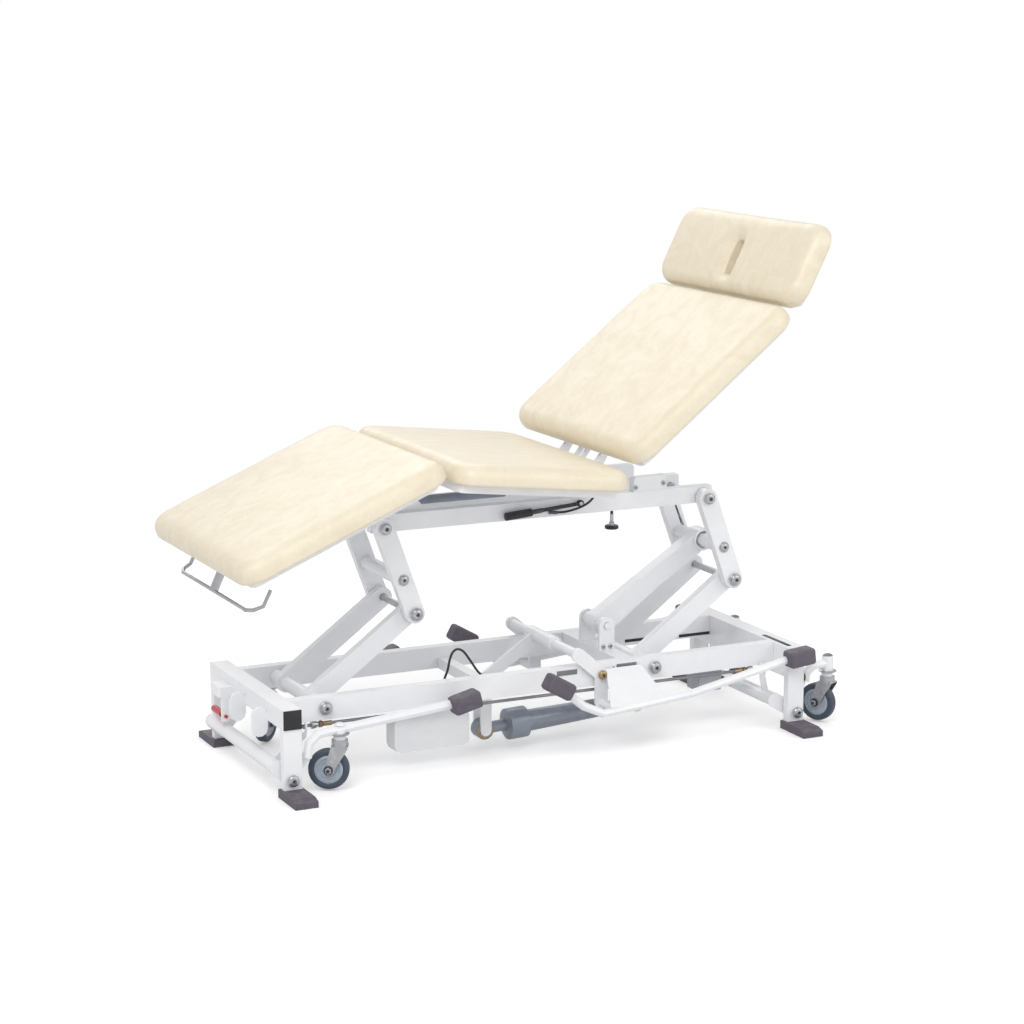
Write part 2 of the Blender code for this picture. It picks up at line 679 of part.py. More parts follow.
def build_floor_frame():
    """End frames, shoes and rails."""
    add_piece("foot_end_frame", make_end_frame(BEAM_START_X, FOOT_BEAM_HEIGHT, FOOT_CASTOR_PIVOT_X,
                                               make_foot_extras()), "white_frame", "base")
    add_piece("head_end_frame", make_end_frame(HEAD_BEAM_X, HEAD_BEAM_HEIGHT, HEAD_CASTOR_PIVOT_X),
              "white_frame", "base")
    shoe_margin = (SHOE_LENGTH - BEAM_WIDTH) / 2
    for end, start in (("foot", BEAM_START_X - shoe_margin), ("head", HEAD_BEAM_X - shoe_margin)):
        for side, sign in (("near", -1), ("far", 1)):
            shoe = block((start, -SHOE_OUTER_Y, 0), (start + SHOE_LENGTH, -SHOE_INNER_Y, SHOE_HEIGHT))
            wedge = block((start - OVERRUN, -SHOE_OUTER_Y - OVERRUN, SHOE_HEIGHT - SHOE_SLOPE),
                          (start + SHOE_LENGTH + OVERRUN, -SHOE_OUTER_Y + 4 * OVERRUN, SHOE_HEIGHT + OVERRUN))
            wedge.transform(Matrix.Translation((0, -SHOE_OUTER_Y, SHOE_HEIGHT - SHOE_SLOPE))
                            @ Matrix.Rotation(math.radians(16), 4, "X")
                            @ Matrix.Translation((0, SHOE_OUTER_Y, SHOE_SLOPE - SHOE_HEIGHT)))
            shoe = cut(shoe, wedge)
            add_piece(f"shoe_{end}_{side}", shoe if sign < 0 else mirrored(shoe), "grey_rubber", "base")
    for side, sign in (("near", -1), ("far", 1)):
        rail = block((FOOT_BEAM_END_X + SEAT_GAP, -RAIL_OUTER_Y, RAIL_BOTTOM_Z),
                     (HEAD_BEAM_X - SEAT_GAP, -RAIL_INNER_Y, BEAM_TOP_Z))
        bores = [cross_rod(point, RAIL_OUTER_Y + OVERRUN, BORE_R, COARSE) for point in (FOOT_PIVOT, HEAD_PIVOT)]
        bolt = rod((ROCKER_PIVOT[0], -RAIL_OUTER_Y + OVERRUN, ROCKER_PIVOT[1]),
                   (ROCKER_PIVOT[0], -ROCKER_PLATE_Y - ROCKER_PLATE - BOLT_HEAD_THICK, ROCKER_PIVOT[1]),
                   ROCKER_BOLT_R, COARSE)
        rail = joined(cut(rail, *bores), bolt)
        add_piece(f"rail_{side}", rail if sign < 0 else mirrored(rail), "white_frame", "base")


def bar_pair(first, last, inner, outer, bore):
    """Two bars with round ends, one on each side, bored where bore says."""
    holes = [circle(point, BORE_R, COARSE) for point in bore]
    near = plate(slot_outline(first, last, ARM_WIDTH / 2), inner, outer, holes)
    return [near, mirrored(near)]


def through_bolt(point, half, head=True):
    """A shaft along Y with a head at each end."""
    shaft = cross_rod(point, half + BOLT_HEAD_THICK / 2, SHAFT_R, COARSE)
    ends = []
    for sign in (-1, 1):
        ends.append(rod((point[0], sign * (half + SEAT_GAP), point[1]),
                        (point[0], sign * (half + SEAT_GAP + BOLT_HEAD_THICK), point[1]), BOLT_HEAD_R, COARSE))
    return joined(shaft, *ends) if head else shaft


def build_lift():
    """Arms, links, the middle arm and the shafts they turn on."""
    pivot_half = RAIL_INNER_Y - SEAT_GAP
    arms = bar_pair(FOOT_PIVOT, FOOT_LOW, ARM_INNER_Y, ARM_OUTER_Y, [FOOT_LOW])
    arms = cut(joined(cross_rod(FOOT_PIVOT, pivot_half, PIVOT_TUBE_R), *arms),
               cross_rod(FOOT_PIVOT, RAIL_OUTER_Y, BORE_R, COARSE))
    add_piece("foot_arms", arms, "white_frame", "foot_arms")

    arms = bar_pair(HEAD_PIVOT, HEAD_LOW, ARM_INNER_Y, ARM_OUTER_Y, [HEAD_LOW])
    slot = slot_outline((CRANK_PIN[0], CRANK_PIN[1] + CRANK_PIN_PLAY), (CRANK_PIN[0], CRANK_PIN[1] - CRANK_SLOT_REACH),
                        CRANK_PIN_R + CRANK_PIN_PLAY, COARSE)
    crank = plate(slot_outline(HEAD_PIVOT, (CRANK_PIN[0], CRANK_PIN[1] - CRANK_SLOT_REACH),
                               CRANK_PIN_R + CRANK_PIN_PLAY + CRANK_WALL, COARSE),
                  ACTUATOR_Y - CRANK_THICK / 2, ACTUATOR_Y + CRANK_THICK / 2, [slot])
    arms = cut(joined(cross_rod(HEAD_PIVOT, pivot_half, PIVOT_TUBE_R), *arms, crank),
               cross_rod(HEAD_PIVOT, RAIL_OUTER_Y, BORE_R, COARSE))
    add_piece("head_arms", arms, "white_frame", "head_arms")

    for end, top, low, mid in (("foot", FOOT_TOP, FOOT_LOW, FOOT_MID), ("head", HEAD_TOP, HEAD_LOW, HEAD_MID)):
        links = bar_pair(low, top, LINK_INNER_Y, LINK_OUTER_Y, [top, low])
        add_piece(f"{end}_links", joined(cross_rod(mid, LINK_INNER_Y + OVERRUN, CROSS_TUBE_R), *links),
                  "white_frame", f"{end}_links")
        add_piece(f"{end}_low_shaft", through_bolt(low, LINK_OUTER_Y), "zinc_steel", f"{end}_arms")
        add_piece(f"{end}_top_shaft", through_bolt(top, LINK_OUTER_Y), "zinc_steel", "upper_frame")
    for end, point in (("foot", FOOT_PIVOT), ("head", HEAD_PIVOT)):
        add_piece(f"{end}_base_shaft", through_bolt(point, RAIL_OUTER_Y), "zinc_steel", "base")

    boss_r = CROSS_TUBE_R + OPEN_PIVOT_GAP + OPEN_BOSS_WALL
    line = Vector((HEAD_MID[0] - STAND_PIVOT[0], HEAD_MID[1] - STAND_PIVOT[1]))
    near_boss = Vector(HEAD_MID) - line.normalized() * (boss_r - OVERRUN / 2)
    bar = plate(slot_outline(STAND_PIVOT, near_boss, MIDDLE_ARM_HEIGHT / 2), -MIDDLE_ARM_HALF_Y, MIDDLE_ARM_HALF_Y)
    boss = cross_rod(HEAD_MID, MIDDLE_ARM_HALF_Y + OVERRUN, boss_r)
    stud_half = STAND_OUTER_Y + SEAT_GAP + BOLT_HEAD_THICK
    studs = cross_rod(STAND_PIVOT, stud_half, SHAFT_R, COARSE)
    hub = cross_rod(STAND_PIVOT, STAND_OUTER_Y - STAND_PLATE - RUN_GAP, PIVOT_TUBE_R)
    bore = cross_rod(HEAD_MID, LINK_INNER_Y, CROSS_TUBE_R + OPEN_PIVOT_GAP)
    add_piece("middle_arm", joined(cut(joined(boss, bar), bore), hub, studs), "white_frame", "middle_arm")


def build_stand():
    """The cross bar between the rails with the two uprights of the middle arm."""
    half = STAND_WIDTH / 2
    bottom = RAIL_BOTTOM_Z + RAIL_HEIGHT - STAND_BAR_HEIGHT
    bar = block((STAND_PIVOT[0] - half, -RAIL_INNER_Y + SEAT_GAP, bottom),
                (STAND_PIVOT[0] + half, RAIL_INNER_Y - SEAT_GAP, BEAM_TOP_Z))
    upright = plate(slot_outline((STAND_PIVOT[0], BEAM_TOP_Z), STAND_PIVOT, half),
                    STAND_OUTER_Y - STAND_PLATE, STAND_OUTER_Y, [circle(STAND_PIVOT, BORE_R, COARSE)])
    add_piece("middle_arm_stand", joined(bar, upright, mirrored(upright)), "white_frame", "base")


def build_actuator():
    """Mount, body and rod of the lifting actuator, on the line from its eye to the crank pin."""
    eye = Vector((ACTUATOR_EYE[0], ACTUATOR_Y, ACTUATOR_EYE[1]))
    line = ACTUATOR_LINE
    half_x = MOUNT_BAR_WIDTH / 2
    bar = block((eye.x - half_x, -RAIL_INNER_Y + SEAT_GAP, RAIL_BOTTOM_Z),
                (eye.x + half_x, RAIL_INNER_Y - SEAT_GAP, RAIL_BOTTOM_Z + MOUNT_BAR_HEIGHT))
    plate_y = ACTUATOR_Y + ACTUATOR_EYE_HALF_Y + RUN_GAP
    other_y = ACTUATOR_Y - ACTUATOR_EYE_HALF_Y - RUN_GAP - MOUNT_PLATE
    ears = [plate(slot_outline(ACTUATOR_EYE, (eye.x, RAIL_BOTTOM_Z + OVERRUN), half_x, COARSE), low, low + MOUNT_PLATE)
            for low in (plate_y, other_y)]
    pin = rod((eye.x, other_y + MOUNT_PLATE / 2, eye.z), (eye.x, plate_y + MOUNT_PLATE / 2, eye.z),
              ACTUATOR_EYE_BORE_R - RUN_GAP, COARSE)
    add_piece("actuator_mount", joined(bar, *ears, pin), "white_frame", "base")

    ring = rod(eye - Vector((0, ACTUATOR_EYE_HALF_Y, 0)), eye + Vector((0, ACTUATOR_EYE_HALF_Y, 0)), ACTUATOR_EYE_R)
    housing_end = ACTUATOR_HOUSING_START + ACTUATOR_HOUSING_LENGTH
    tube_end = housing_end + ACTUATOR_TUBE_LENGTH
    profile = [(ACTUATOR_EYE_R / 2, 0), (ACTUATOR_EYE_R / 2, ACTUATOR_NECK_R),
               (ACTUATOR_HOUSING_START, ACTUATOR_NECK_R),
               (ACTUATOR_HOUSING_START + OVERRUN, ACTUATOR_HOUSING_R), (housing_end - OVERRUN, ACTUATOR_HOUSING_R),
               (housing_end, ACTUATOR_TUBE_R), (tube_end, ACTUATOR_TUBE_END_R), (tube_end, 0)]
    body = joined(turned(profile, eye, line), ring)
    bore = rod(eye - Vector((0, 2 * ACTUATOR_EYE_HALF_Y, 0)), eye + Vector((0, 2 * ACTUATOR_EYE_HALF_Y, 0)),
               ACTUATOR_EYE_BORE_R, COARSE)
    barrel = rod(eye + line * (tube_end - ACTUATOR_BORE_DEPTH), eye + line * (tube_end + OVERRUN),
                 ACTUATOR_ROD_R + RUN_GAP, COARSE)
    add_piece("actuator_body", cut(body, bore, barrel), "actuator_grey", "base")

    pin_point = Vector((CRANK_PIN[0], ACTUATOR_Y, CRANK_PIN[1]))
    half_fork = FORK_HEIGHT / 2
    fork = block((-FORK_LENGTH, -FORK_HALF_Y, -half_fork), (half_fork, FORK_HALF_Y, half_fork))
    gap = block((-FORK_LENGTH * 0.62, -CRANK_THICK / 2 - CRANK_PIN_PLAY / 2, -FORK_HEIGHT),
                (FORK_HEIGHT, CRANK_THICK / 2 + CRANK_PIN_PLAY / 2, FORK_HEIGHT))
    fork = cut(fork, gap)
    pin = rod((0, -FORK_HALF_Y + OVERRUN / 2, 0), (0, FORK_HALF_Y - OVERRUN / 2, 0), CRANK_PIN_R, COARSE)
    lean = Matrix.Rotation(-math.atan2(line.z, line.x), 4, "Y")
    fork = joined(fork, pin)
    fork.transform(Matrix.Translation(pin_point) @ lean)
    rod_start = eye + line * (tube_end - ACTUATOR_ROD_INSIDE)
    shaft = rod(rod_start, pin_point - line * (FORK_LENGTH - OVERRUN), ACTUATOR_ROD_R, COARSE)
    add_piece("actuator_rod", joined(fork, shaft), "zinc_steel", "actuator_rod")


def build_boxes():
    """The control box and the junction box, each hung on the near rail's inner side, and the base cable."""
    hanger_top = RAIL_BOTTOM_Z + RAIL_HEIGHT / 2
    for name, (low_x, high_x), (low_y, high_y), bottom, top, corner, material in (
            ("control_box", CONTROL_BOX_X, CONTROL_BOX_Y, CONTROL_BOX_BOTTOM_Z, CONTROL_BOX_TOP_Z,
             CONTROL_BOX_CORNER, "white_plastic"),
            ("junction_box", JUNCTION_X, JUNCTION_Y, RAIL_BOTTOM_Z - JUNCTION_HEIGHT, RAIL_BOTTOM_Z - OVERRUN,
             JUNCTION_CORNER, "grey_plastic")):
        case = block((low_x, low_y, bottom), (high_x, high_y, top), corner, 2, edges=1)
        middle = (low_x + high_x) / 2
        quarter = (high_x - low_x) / 4
        hanger = block((middle - quarter, -RAIL_INNER_Y + SEAT_GAP, top - corner),
                       (middle + quarter, -RAIL_INNER_Y + SEAT_GAP + HANGER_THICK, hanger_top))
        add_piece(name, joined(case, hanger), material, "base")
    route = [Vector(p) for p in BASE_CABLE_ROUTE]
    add_piece("base_cable", wire(smooth_route(route, 2), BASE_CABLE_R), "black_plastic", "base")


def make_pedal(point, tilt, y, direction, tube_r, route):
    """A rubber shoe over a tube's end; direction is +1 where it points to the head end."""
    low = -PEDAL_OVERLAP if direction > 0 else PEDAL_OVERLAP - PEDAL_LENGTH
    shoe = block((low, -PEDAL_WIDTH / 2, -PEDAL_HEIGHT / 2), (low + PEDAL_LENGTH, PEDAL_WIDTH / 2, PEDAL_HEIGHT / 2),
                 PEDAL_CORNER, 2)
    shoe.transform(Matrix.Translation((point[0], y - PEDAL_OUTWARD, point[1])) @ Matrix.Rotation(tilt, 4, "Y"))
    return cut(shoe, wire([(x, y, z) for x, z in route], tube_r + SEAT_GAP, 2))


def build_rocker():
    """The sprung height rocker: both pedal tubes, their cranks and the cross tube over the rails."""
    cross = cross_rod(ROCKER_CROSS, ROCKER_PLATE_Y + ROCKER_PLATE / 2, ROCKER_CROSS_R)
    sleeve = rod((ROCKER_CROSS[0], ROCKER_SLEEVE_Y[0], ROCKER_CROSS[1]),
                 (ROCKER_CROSS[0], ROCKER_SLEEVE_Y[1], ROCKER_CROSS[1]), ROCKER_SLEEVE_R)
    strut = plate(slot_outline(ROCKER_CROSS, STRUT_TIP, STRUT_WIDTH / 2, COARSE), *STRUT_Y)
    tube_points = [(x, -ROCKER_TUBE_Y, z) for x, z in ROCKER_TUBE]
    upper = plate(slot_outline(ROCKER_CROSS, ROCKER_PIVOT, ROCKER_PLATE_WIDTH / 2, COARSE),
                  -ROCKER_PLATE_Y - ROCKER_PLATE, -ROCKER_PLATE_Y)
    lower = plate(slot_outline(ROCKER_PIVOT, ROCKER_LOW, ROCKER_PLATE_WIDTH / 2 - RUN_GAP, COARSE),
                  -ROCKER_PLATE_Y - ROCKER_PLATE + RUN_GAP, -ROCKER_PLATE_Y - RUN_GAP)
    stub = rod((ROCKER_LOW[0], -ROCKER_PLATE_Y - ROCKER_PLATE / 2, ROCKER_LOW[1]),
               (ROCKER_LOW[0], -ROCKER_TUBE_Y, ROCKER_LOW[1]), ROCKER_TUBE_R, COARSE)
    work = bmesh.new()
    for x, y, z in [(x, -ROCKER_PLATE_Y - ROCKER_PLATE / 2, GUSSET_TOP_Z) for x in GUSSET_TOP_X] + \
            [(x, -ROCKER_TUBE_Y, GUSSET_LOW_Z) for x in GUSSET_LOW_X]:
        work.verts.new((x, y, z))
        work.verts.new((x, y - GUSSET_PLATE, z - GUSSET_PLATE / 2))
    bmesh.ops.convex_hull(work, input=work.verts)
    gusset = from_bmesh(work)
    side = joined(wire(tube_points, ROCKER_TUBE_R, 2), stub, lower, upper, gusset)
    side = cut(side, rod((ROCKER_PIVOT[0], -ROCKER_TUBE_Y, ROCKER_PIVOT[1]), (ROCKER_PIVOT[0], 0, ROCKER_PIVOT[1]),
                         ROCKER_BOLT_R + RUN_GAP, COARSE))
    add_piece("height_rocker", joined(cross, sleeve, strut, side, mirrored(side)), "white_frame", "rocker")
    for side_name, sign in (("near", -1), ("far", 1)):
        for name, point, tilt, direction in (("middle_pedal", ROCKER_TUBE[0], ROCKER_PEDAL_TILT, -1),
                                             ("head_pedal", ROCKER_TUBE[-1], HEAD_PEDAL_TILT, 1)):
            pedal = make_pedal(point, tilt, -ROCKER_TUBE_Y, direction, ROCKER_TUBE_R, ROCKER_TUBE)
            add_piece(f"{name}_{side_name}", pedal if sign < 0 else mirrored(pedal), "grey_rubber", "rocker")


def rod_lug(cross, pin_x):
    """The lever from a castor bar's cross tube up to the connecting rod's pin, with the pin's slot."""
    slot = slot_outline((pin_x, ROD_Z - ROD_SLOT_HALF), (pin_x, ROD_Z + ROD_SLOT_HALF), ROD_PIN_R + ROD_SLOT_PLAY, COARSE)
    head = plate(slot_outline((pin_x, ROD_Z - ROD_SLOT_HALF), (pin_x, ROD_Z + ROD_SLOT_HALF),
                              ROD_PIN_R + ROD_SLOT_PLAY + ROD_LUG_WALL, COARSE),
                 ROD_LUG_Y - ROD_LUG, ROD_LUG_Y, [slot])
    stalk = plate(slot_outline(cross, (pin_x, ROD_Z - 2.2 * ROD_SLOT_HALF), ROD_PIN_R + ROD_LUG_WALL, COARSE),
                  ROD_LUG_Y - ROD_LUG + RUN_GAP, ROD_LUG_Y - RUN_GAP)
    return [stalk, head]


def build_castor_bar(end, pivot, cross, route, castor_x, boss_top):
    """A cross tube on two lugs that turn on the post bolts, with a side tube and a castor boss on each side."""
    body = f"{end}_castor_bar"
    start = route[0]
    outline = slot_outline(pivot, cross, CASTOR_LUG_WIDTH / 2, COARSE)
    arm = slot_outline(pivot, start, CASTOR_ARM_WIDTH[end] / 2, COARSE)
    low_y, high_y = -CASTOR_LUG_Y - CASTOR_LUG, -CASTOR_LUG_Y
    tube = wire([(x, -CASTOR_TUBE_Y, z) for x, z in route], CASTOR_TUBE_R, 2)
    boss = rod((castor_x, -CASTOR_TUBE_Y, FORK_TOP_Z + SEAT_GAP), (castor_x, -CASTOR_TUBE_Y, boss_top), CASTOR_BOSS_R)
    side = joined(plate(outline, low_y, high_y), plate(arm, low_y + RUN_GAP, high_y - RUN_GAP), tube, boss)
    side = cut(side, rod((pivot[0], -CASTOR_TUBE_Y, pivot[1]), (pivot[0], 0, pivot[1]), CASTOR_PIVOT_R + RUN_GAP, COARSE),
               rod((castor_x, -CASTOR_TUBE_Y, FORK_TOP_Z - OVERRUN),
                   (castor_x, -CASTOR_TUBE_Y, FORK_TOP_Z + STEM_HEIGHT + RUN_GAP), STEM_R + RUN_GAP, COARSE))
    pin_x = ROD_FOOT_X if end == "foot" else ROD_HEAD_X
    bar = joined(cross_rod(cross, CASTOR_LUG_Y + CASTOR_LUG / 2, CROSS_R), side, mirrored(side), *rod_lug(cross, pin_x))
    add_piece(body, bar, "white_frame", body)


def build_castor(name, sign, heading, x):
    """A swivel fork on its stem and the wheel on its axle."""
    y = sign * CASTOR_TUBE_Y
    swivel, wheel = f"swivel_{name}", f"wheel_{name}"
    trail = Vector((math.cos(heading), math.sin(heading), 0)) * TRAIL
    axle = Vector((x, y, WHEEL_Z)) + trail
    bar = "foot_castor_bar" if name.startswith("foot") else "head_castor_bar"
    add_body(swivel, (x, y, FORK_TOP_Z), bar)
    add_body(wheel, axle, swivel)
    leg_inner = WHEEL_HALF + SIDE_GAP
    leg_outer = leg_inner + FORK_PLATE
    bridge_z = FORK_TOP_Z - FORK_BEARING_HEIGHT
    stem = rod((0, 0, bridge_z - FORK_PLATE / 2), (0, 0, FORK_TOP_Z + STEM_HEIGHT), STEM_R, COARSE)
    bearing = rod((0, 0, bridge_z - FORK_PLATE / 2), (0, 0, FORK_TOP_Z), FORK_BEARING_R)
    bridge = block((-FORK_BEARING_R, -leg_outer, bridge_z - FORK_PLATE), (FORK_BEARING_R, leg_outer, bridge_z))
    legs = []
    for low in (leg_inner, -leg_outer):
        legs.append(plate(
            [(-FORK_BEARING_R, bridge_z), (-FORK_BEARING_R, bridge_z - 2 * FORK_PLATE)]
            + [(TRAIL + FORK_LEG_WIDTH / 2 * math.cos(a), WHEEL_Z + FORK_LEG_WIDTH / 2 * math.sin(a))
               for a in (math.pi * (1.1 + 0.8 * i / 6) for i in range(7))]
            + [(FORK_BEARING_R, bridge_z)], low, low + FORK_PLATE))
    axle_pin = rod((TRAIL, -leg_outer - FORK_PLATE, WHEEL_Z), (TRAIL, leg_outer + FORK_PLATE, WHEEL_Z), AXLE_R, COARSE)
    fork = joined(bearing, stem, bridge, *legs, axle_pin)
    turn = Matrix.Rotation(heading, 4, "Z")
    fork.transform(Matrix.Translation((x, y, 0)) @ turn)
    add_piece(f"castor_fork_{name}", fork, "zinc_steel", swivel)
    rim = WHEEL_R - TYRE_THICK
    profile = [(-WHEEL_HALF + HUB_SINK, AXLE_R + RUN_GAP), (-WHEEL_HALF, AXLE_R + 2 * HUB_SINK),
               (-WHEEL_HALF + HUB_SINK, rim - HUB_SINK), (-WHEEL_HALF, rim), (-WHEEL_HALF, WHEEL_R - HUB_SINK),
               (-WHEEL_HALF / 2, WHEEL_R)]
    profile += [(-a, r) for a, r in reversed(profile)]
    profile.append(profile[0])
    tyre = turned(profile, (0, 0, 0), (0, 1, 0), WHEEL_SIDES)
    tyre.transform(Matrix.Translation(axle) @ turn)
    add_piece(f"castor_wheel_{name}", tyre, "blue_tyre", wheel)


def build_castors():
    """Both castor bars, their pedals, the connecting rod and the four castors."""
    build_castor_bar("foot", FOOT_CASTOR_PIVOT, FOOT_CROSS, FOOT_SIDE_TUBE, FOOT_CASTOR_X, FOOT_BOSS_TOP_Z)
    build_castor_bar("head", HEAD_CASTOR_PIVOT, HEAD_CROSS, HEAD_SIDE_TUBE, HEAD_CASTOR_X, HEAD_BOSS_TOP_Z)
    for side_name, sign in (("near", -1), ("far", 1)):
        pedal = make_pedal(FOOT_SIDE_TUBE[-1], FOOT_PEDAL_TILT, -CASTOR_TUBE_Y, 1, CASTOR_TUBE_R, FOOT_SIDE_TUBE)
        add_piece(f"foot_pedal_{side_name}", pedal if sign < 0 else mirrored(pedal), "grey_rubber", "foot_castor_bar")
    shaft = rod((ROD_FOOT_X - OVERRUN, ROD_Y, ROD_Z), (ROD_HEAD_X + OVERRUN, ROD_Y, ROD_Z), ROD_R, COARSE)
    pins = [rod((x, ROD_Y, ROD_Z), (x, ROD_LUG_Y - ROD_LUG - OVERRUN / 2, ROD_Z), ROD_PIN_R, COARSE)
            for x in (ROD_FOOT_X, ROD_HEAD_X)]
    add_piece("castor_rod", joined(shaft, *pins), "zinc_steel", "castor_rod")
    for name, (sign, heading) in CASTORS.items():
        build_castor(name, sign, heading, FOOT_CASTOR_X if name.startswith("foot") else HEAD_CASTOR_X)


def build_upper_frame():
    """Two rails joined by cross bars, with the brackets of the knee, the back and the near box."""
    rail = plate([(TOP_RAIL_X[0], TOP_RAIL_BOTTOM_Z), (TOP_RAIL_X[1], TOP_RAIL_BOTTOM_Z),
                  (TOP_RAIL_X[1], TOP_RAIL_TOP_Z), (TOP_RAIL_X[0], TOP_RAIL_TOP_Z)],
                 TOP_RAIL_INNER_Y, TOP_RAIL_OUTER_Y,
                 [circle(point, BORE_R, COARSE) for point in (FOOT_TOP, HEAD_TOP)])
    knee_foot = (KNEE[0] + HINGE_EYE_R, TOP_RAIL_TOP_Z - OVERRUN)
    brackets = []
    for eye, low_x, high_x in ((KNEE, KNEE[0], KNEE[0] + BRACKET_FOOT_LENGTH),
                               (BACK_HINGE, BACK_HINGE[0] - HINGE_EYE_R, BACK_HINGE[0] + BRACKET_FOOT_LENGTH)):
        top = [(eye[0] + HINGE_EYE_R * math.cos(a), eye[1] + HINGE_EYE_R * math.sin(a))
               for a in (math.pi * i / 6 for i in range(7))]
        outline = [(low_x, knee_foot[1]), (high_x, knee_foot[1])] + top
        brackets.append(plate(outline, BRACKET_Y - BRACKET_THICK, BRACKET_Y))
    box = block((BOX_X[0], TOP_RAIL_INNER_Y + OVERRUN / 2, TOP_RAIL_TOP_Z - OVERRUN),
                (BOX_X[1], TOP_RAIL_OUTER_Y - OVERRUN / 2, TOP_RAIL_TOP_Z - OVERRUN + BOX_HEIGHT), OVERRUN, 1, edges=1)
    side = joined(rail, *brackets, box)
    crosses = [block((x - TOP_CROSS_WIDTH / 2, -TOP_RAIL_INNER_Y - OVERRUN, TOP_RAIL_BOTTOM_Z + SEAT_GAP),
                     (x + TOP_CROSS_WIDTH / 2, TOP_RAIL_INNER_Y + OVERRUN, TOP_RAIL_TOP_Z - 2 * OVERRUN))
               for x in TOP_CROSS_X]
    saddle_x = GAS_CYLINDER_X[0] - GAS_EYE_LENGTH / 2
    saddle = block((saddle_x - GAS_EYE_LENGTH, -GAS_CYLINDER_R, TOP_RAIL_TOP_Z - 3 * OVERRUN),
                   (saddle_x + GAS_EYE_LENGTH / 2 - SEAT_GAP, GAS_CYLINDER_R, GAS_Z + GAS_CYLINDER_R))
    stud = rod((LEVER_PIVOT[0], -TOP_RAIL_OUTER_Y + OVERRUN, LEVER_PIVOT[1]),
               (LEVER_PIVOT[0], LEVER_Y - LEVER_R - OVERRUN / 2, LEVER_PIVOT[1]), LEVER_R, COARSE)
    pins = [*headed_pin(KNEE, LEG_LUG_Y + LUG_THICK), *headed_pin(BACK_HINGE, BACK_LUG_Y + LUG_THICK)]
    add_piece("upper_frame", joined(mirrored(side), side, *crosses, saddle, stud, *pins), "white_frame", "upper_frame")


def headed_pin(point, half):
    """A hinge pin along Y, welded in its brackets, and the washer head on each end."""
    heads = [rod((point[0], s * (half + SEAT_GAP), point[1]), (point[0], s * (half + HINGE_HEAD_THICK), point[1]),
                 HINGE_PIN_R + OVERRUN / 2, COARSE) for s in (-1, 1)]
    return [cross_rod(point, half + HINGE_HEAD_THICK / 2, HINGE_PIN_R, COARSE), *heads]


def build_gas_spring():
    """The cylinder that lies on the frame and the rod that pushes the back's crank."""
    start, end = GAS_CYLINDER_X
    cylinder = cut(rod((start, 0, GAS_Z), (end, 0, GAS_Z), GAS_CYLINDER_R),
                   rod((end - GAS_BORE_DEPTH, 0, GAS_Z), (end + OVERRUN, 0, GAS_Z), GAS_ROD_R + RUN_GAP, COARSE))
    add_piece("gas_cylinder", cylinder, "black_plastic", "upper_frame")
    lean = math.tan(GAS_CRANK_LEAN)
    pin_x = BACK_HINGE[0] + (BACK_HINGE[1] - GAS_Z) * lean
    eye = block((pin_x - GAS_EYE_LENGTH, -GAS_CRANK_Y + 2 * RUN_GAP, GAS_Z - 2 * GAS_PIN_R),
                (pin_x + GAS_EYE_LENGTH / 2, GAS_CRANK_Y - 2 * RUN_GAP, GAS_Z + 2 * GAS_PIN_R))
    pin = cross_rod((pin_x, GAS_Z), GAS_CRANK_Y + GAS_CRANK + OVERRUN / 2, GAS_PIN_R, COARSE)
    shaft = rod((end - GAS_ROD_INSIDE, 0, GAS_Z), (pin_x - GAS_EYE_LENGTH / 2, 0, GAS_Z), GAS_ROD_R, COARSE)
    add_piece("gas_rod", joined(eye, pin, shaft), "zinc_steel", "gas_rod")


def pad_mesh(start, length, depth, hole=None):
    """A padded slab on its hinge's own axes: X along the section, Z out of its face."""
    slab = block((start, -PAD_HALF_Y, depth), (start + length, PAD_HALF_Y, depth + PAD_THICK), PAD_CORNER, PAD_SIDES, edges=2)
    work = bmesh.new()
    work.from_mesh(slab)
    rim = [e for e in work.edges if abs(e.verts[0].co.z - e.verts[1].co.z) < MERGE and len(e.link_faces) == 2
           and any(abs(f.normal.z) > 0.9 for f in e.link_faces) and any(abs(f.normal.z) < 0.1 for f in e.link_faces)]
    bmesh.ops.bevel(work, geom=rim, offset=PAD_EDGE, segments=2, affect="EDGES", profile=0.5)
    slab = from_bmesh(work)
    return cut(slab, hole) if hole else slab


def board_mesh(start, length, depth):
    """The board under a pad."""
    return block((start + BOARD_MARGIN, -BOARD_HALF_Y, depth - BOARD_THICK),
                 (start + length - BOARD_MARGIN, BOARD_HALF_Y, depth - SEAT_GAP), BOARD_CORNER, 2, edges=2)


def hinge_lug(low_y, foot_x, depth, reach):
    """A plate from a board to the hinge's eye, bored for the pin."""
    eye = [(HINGE_EYE_R * math.cos(a), HINGE_EYE_R * math.sin(a))
           for a in (math.pi * (0.5 + i / 6) for i in range(7))]
    top = depth - BOARD_THICK + OVERRUN
    outline = eye + [(foot_x + reach, top), (foot_x, top)]
    return plate(outline, low_y, low_y + LUG_THICK, [circle((0, 0), HINGE_PIN_R + RUN_GAP, COARSE)])


def on_hinge(mesh, hinge, angle, flip=False):
    """Moves a section's mesh from its hinge's own axes to its place."""
    move = Matrix.Translation((hinge[0], 0, hinge[1])) @ Matrix.Rotation(-angle, 4, "Y")
    if flip:
        move = move @ Matrix.Rotation(math.pi, 4, "Z")
    mesh.transform(move)
    return mesh


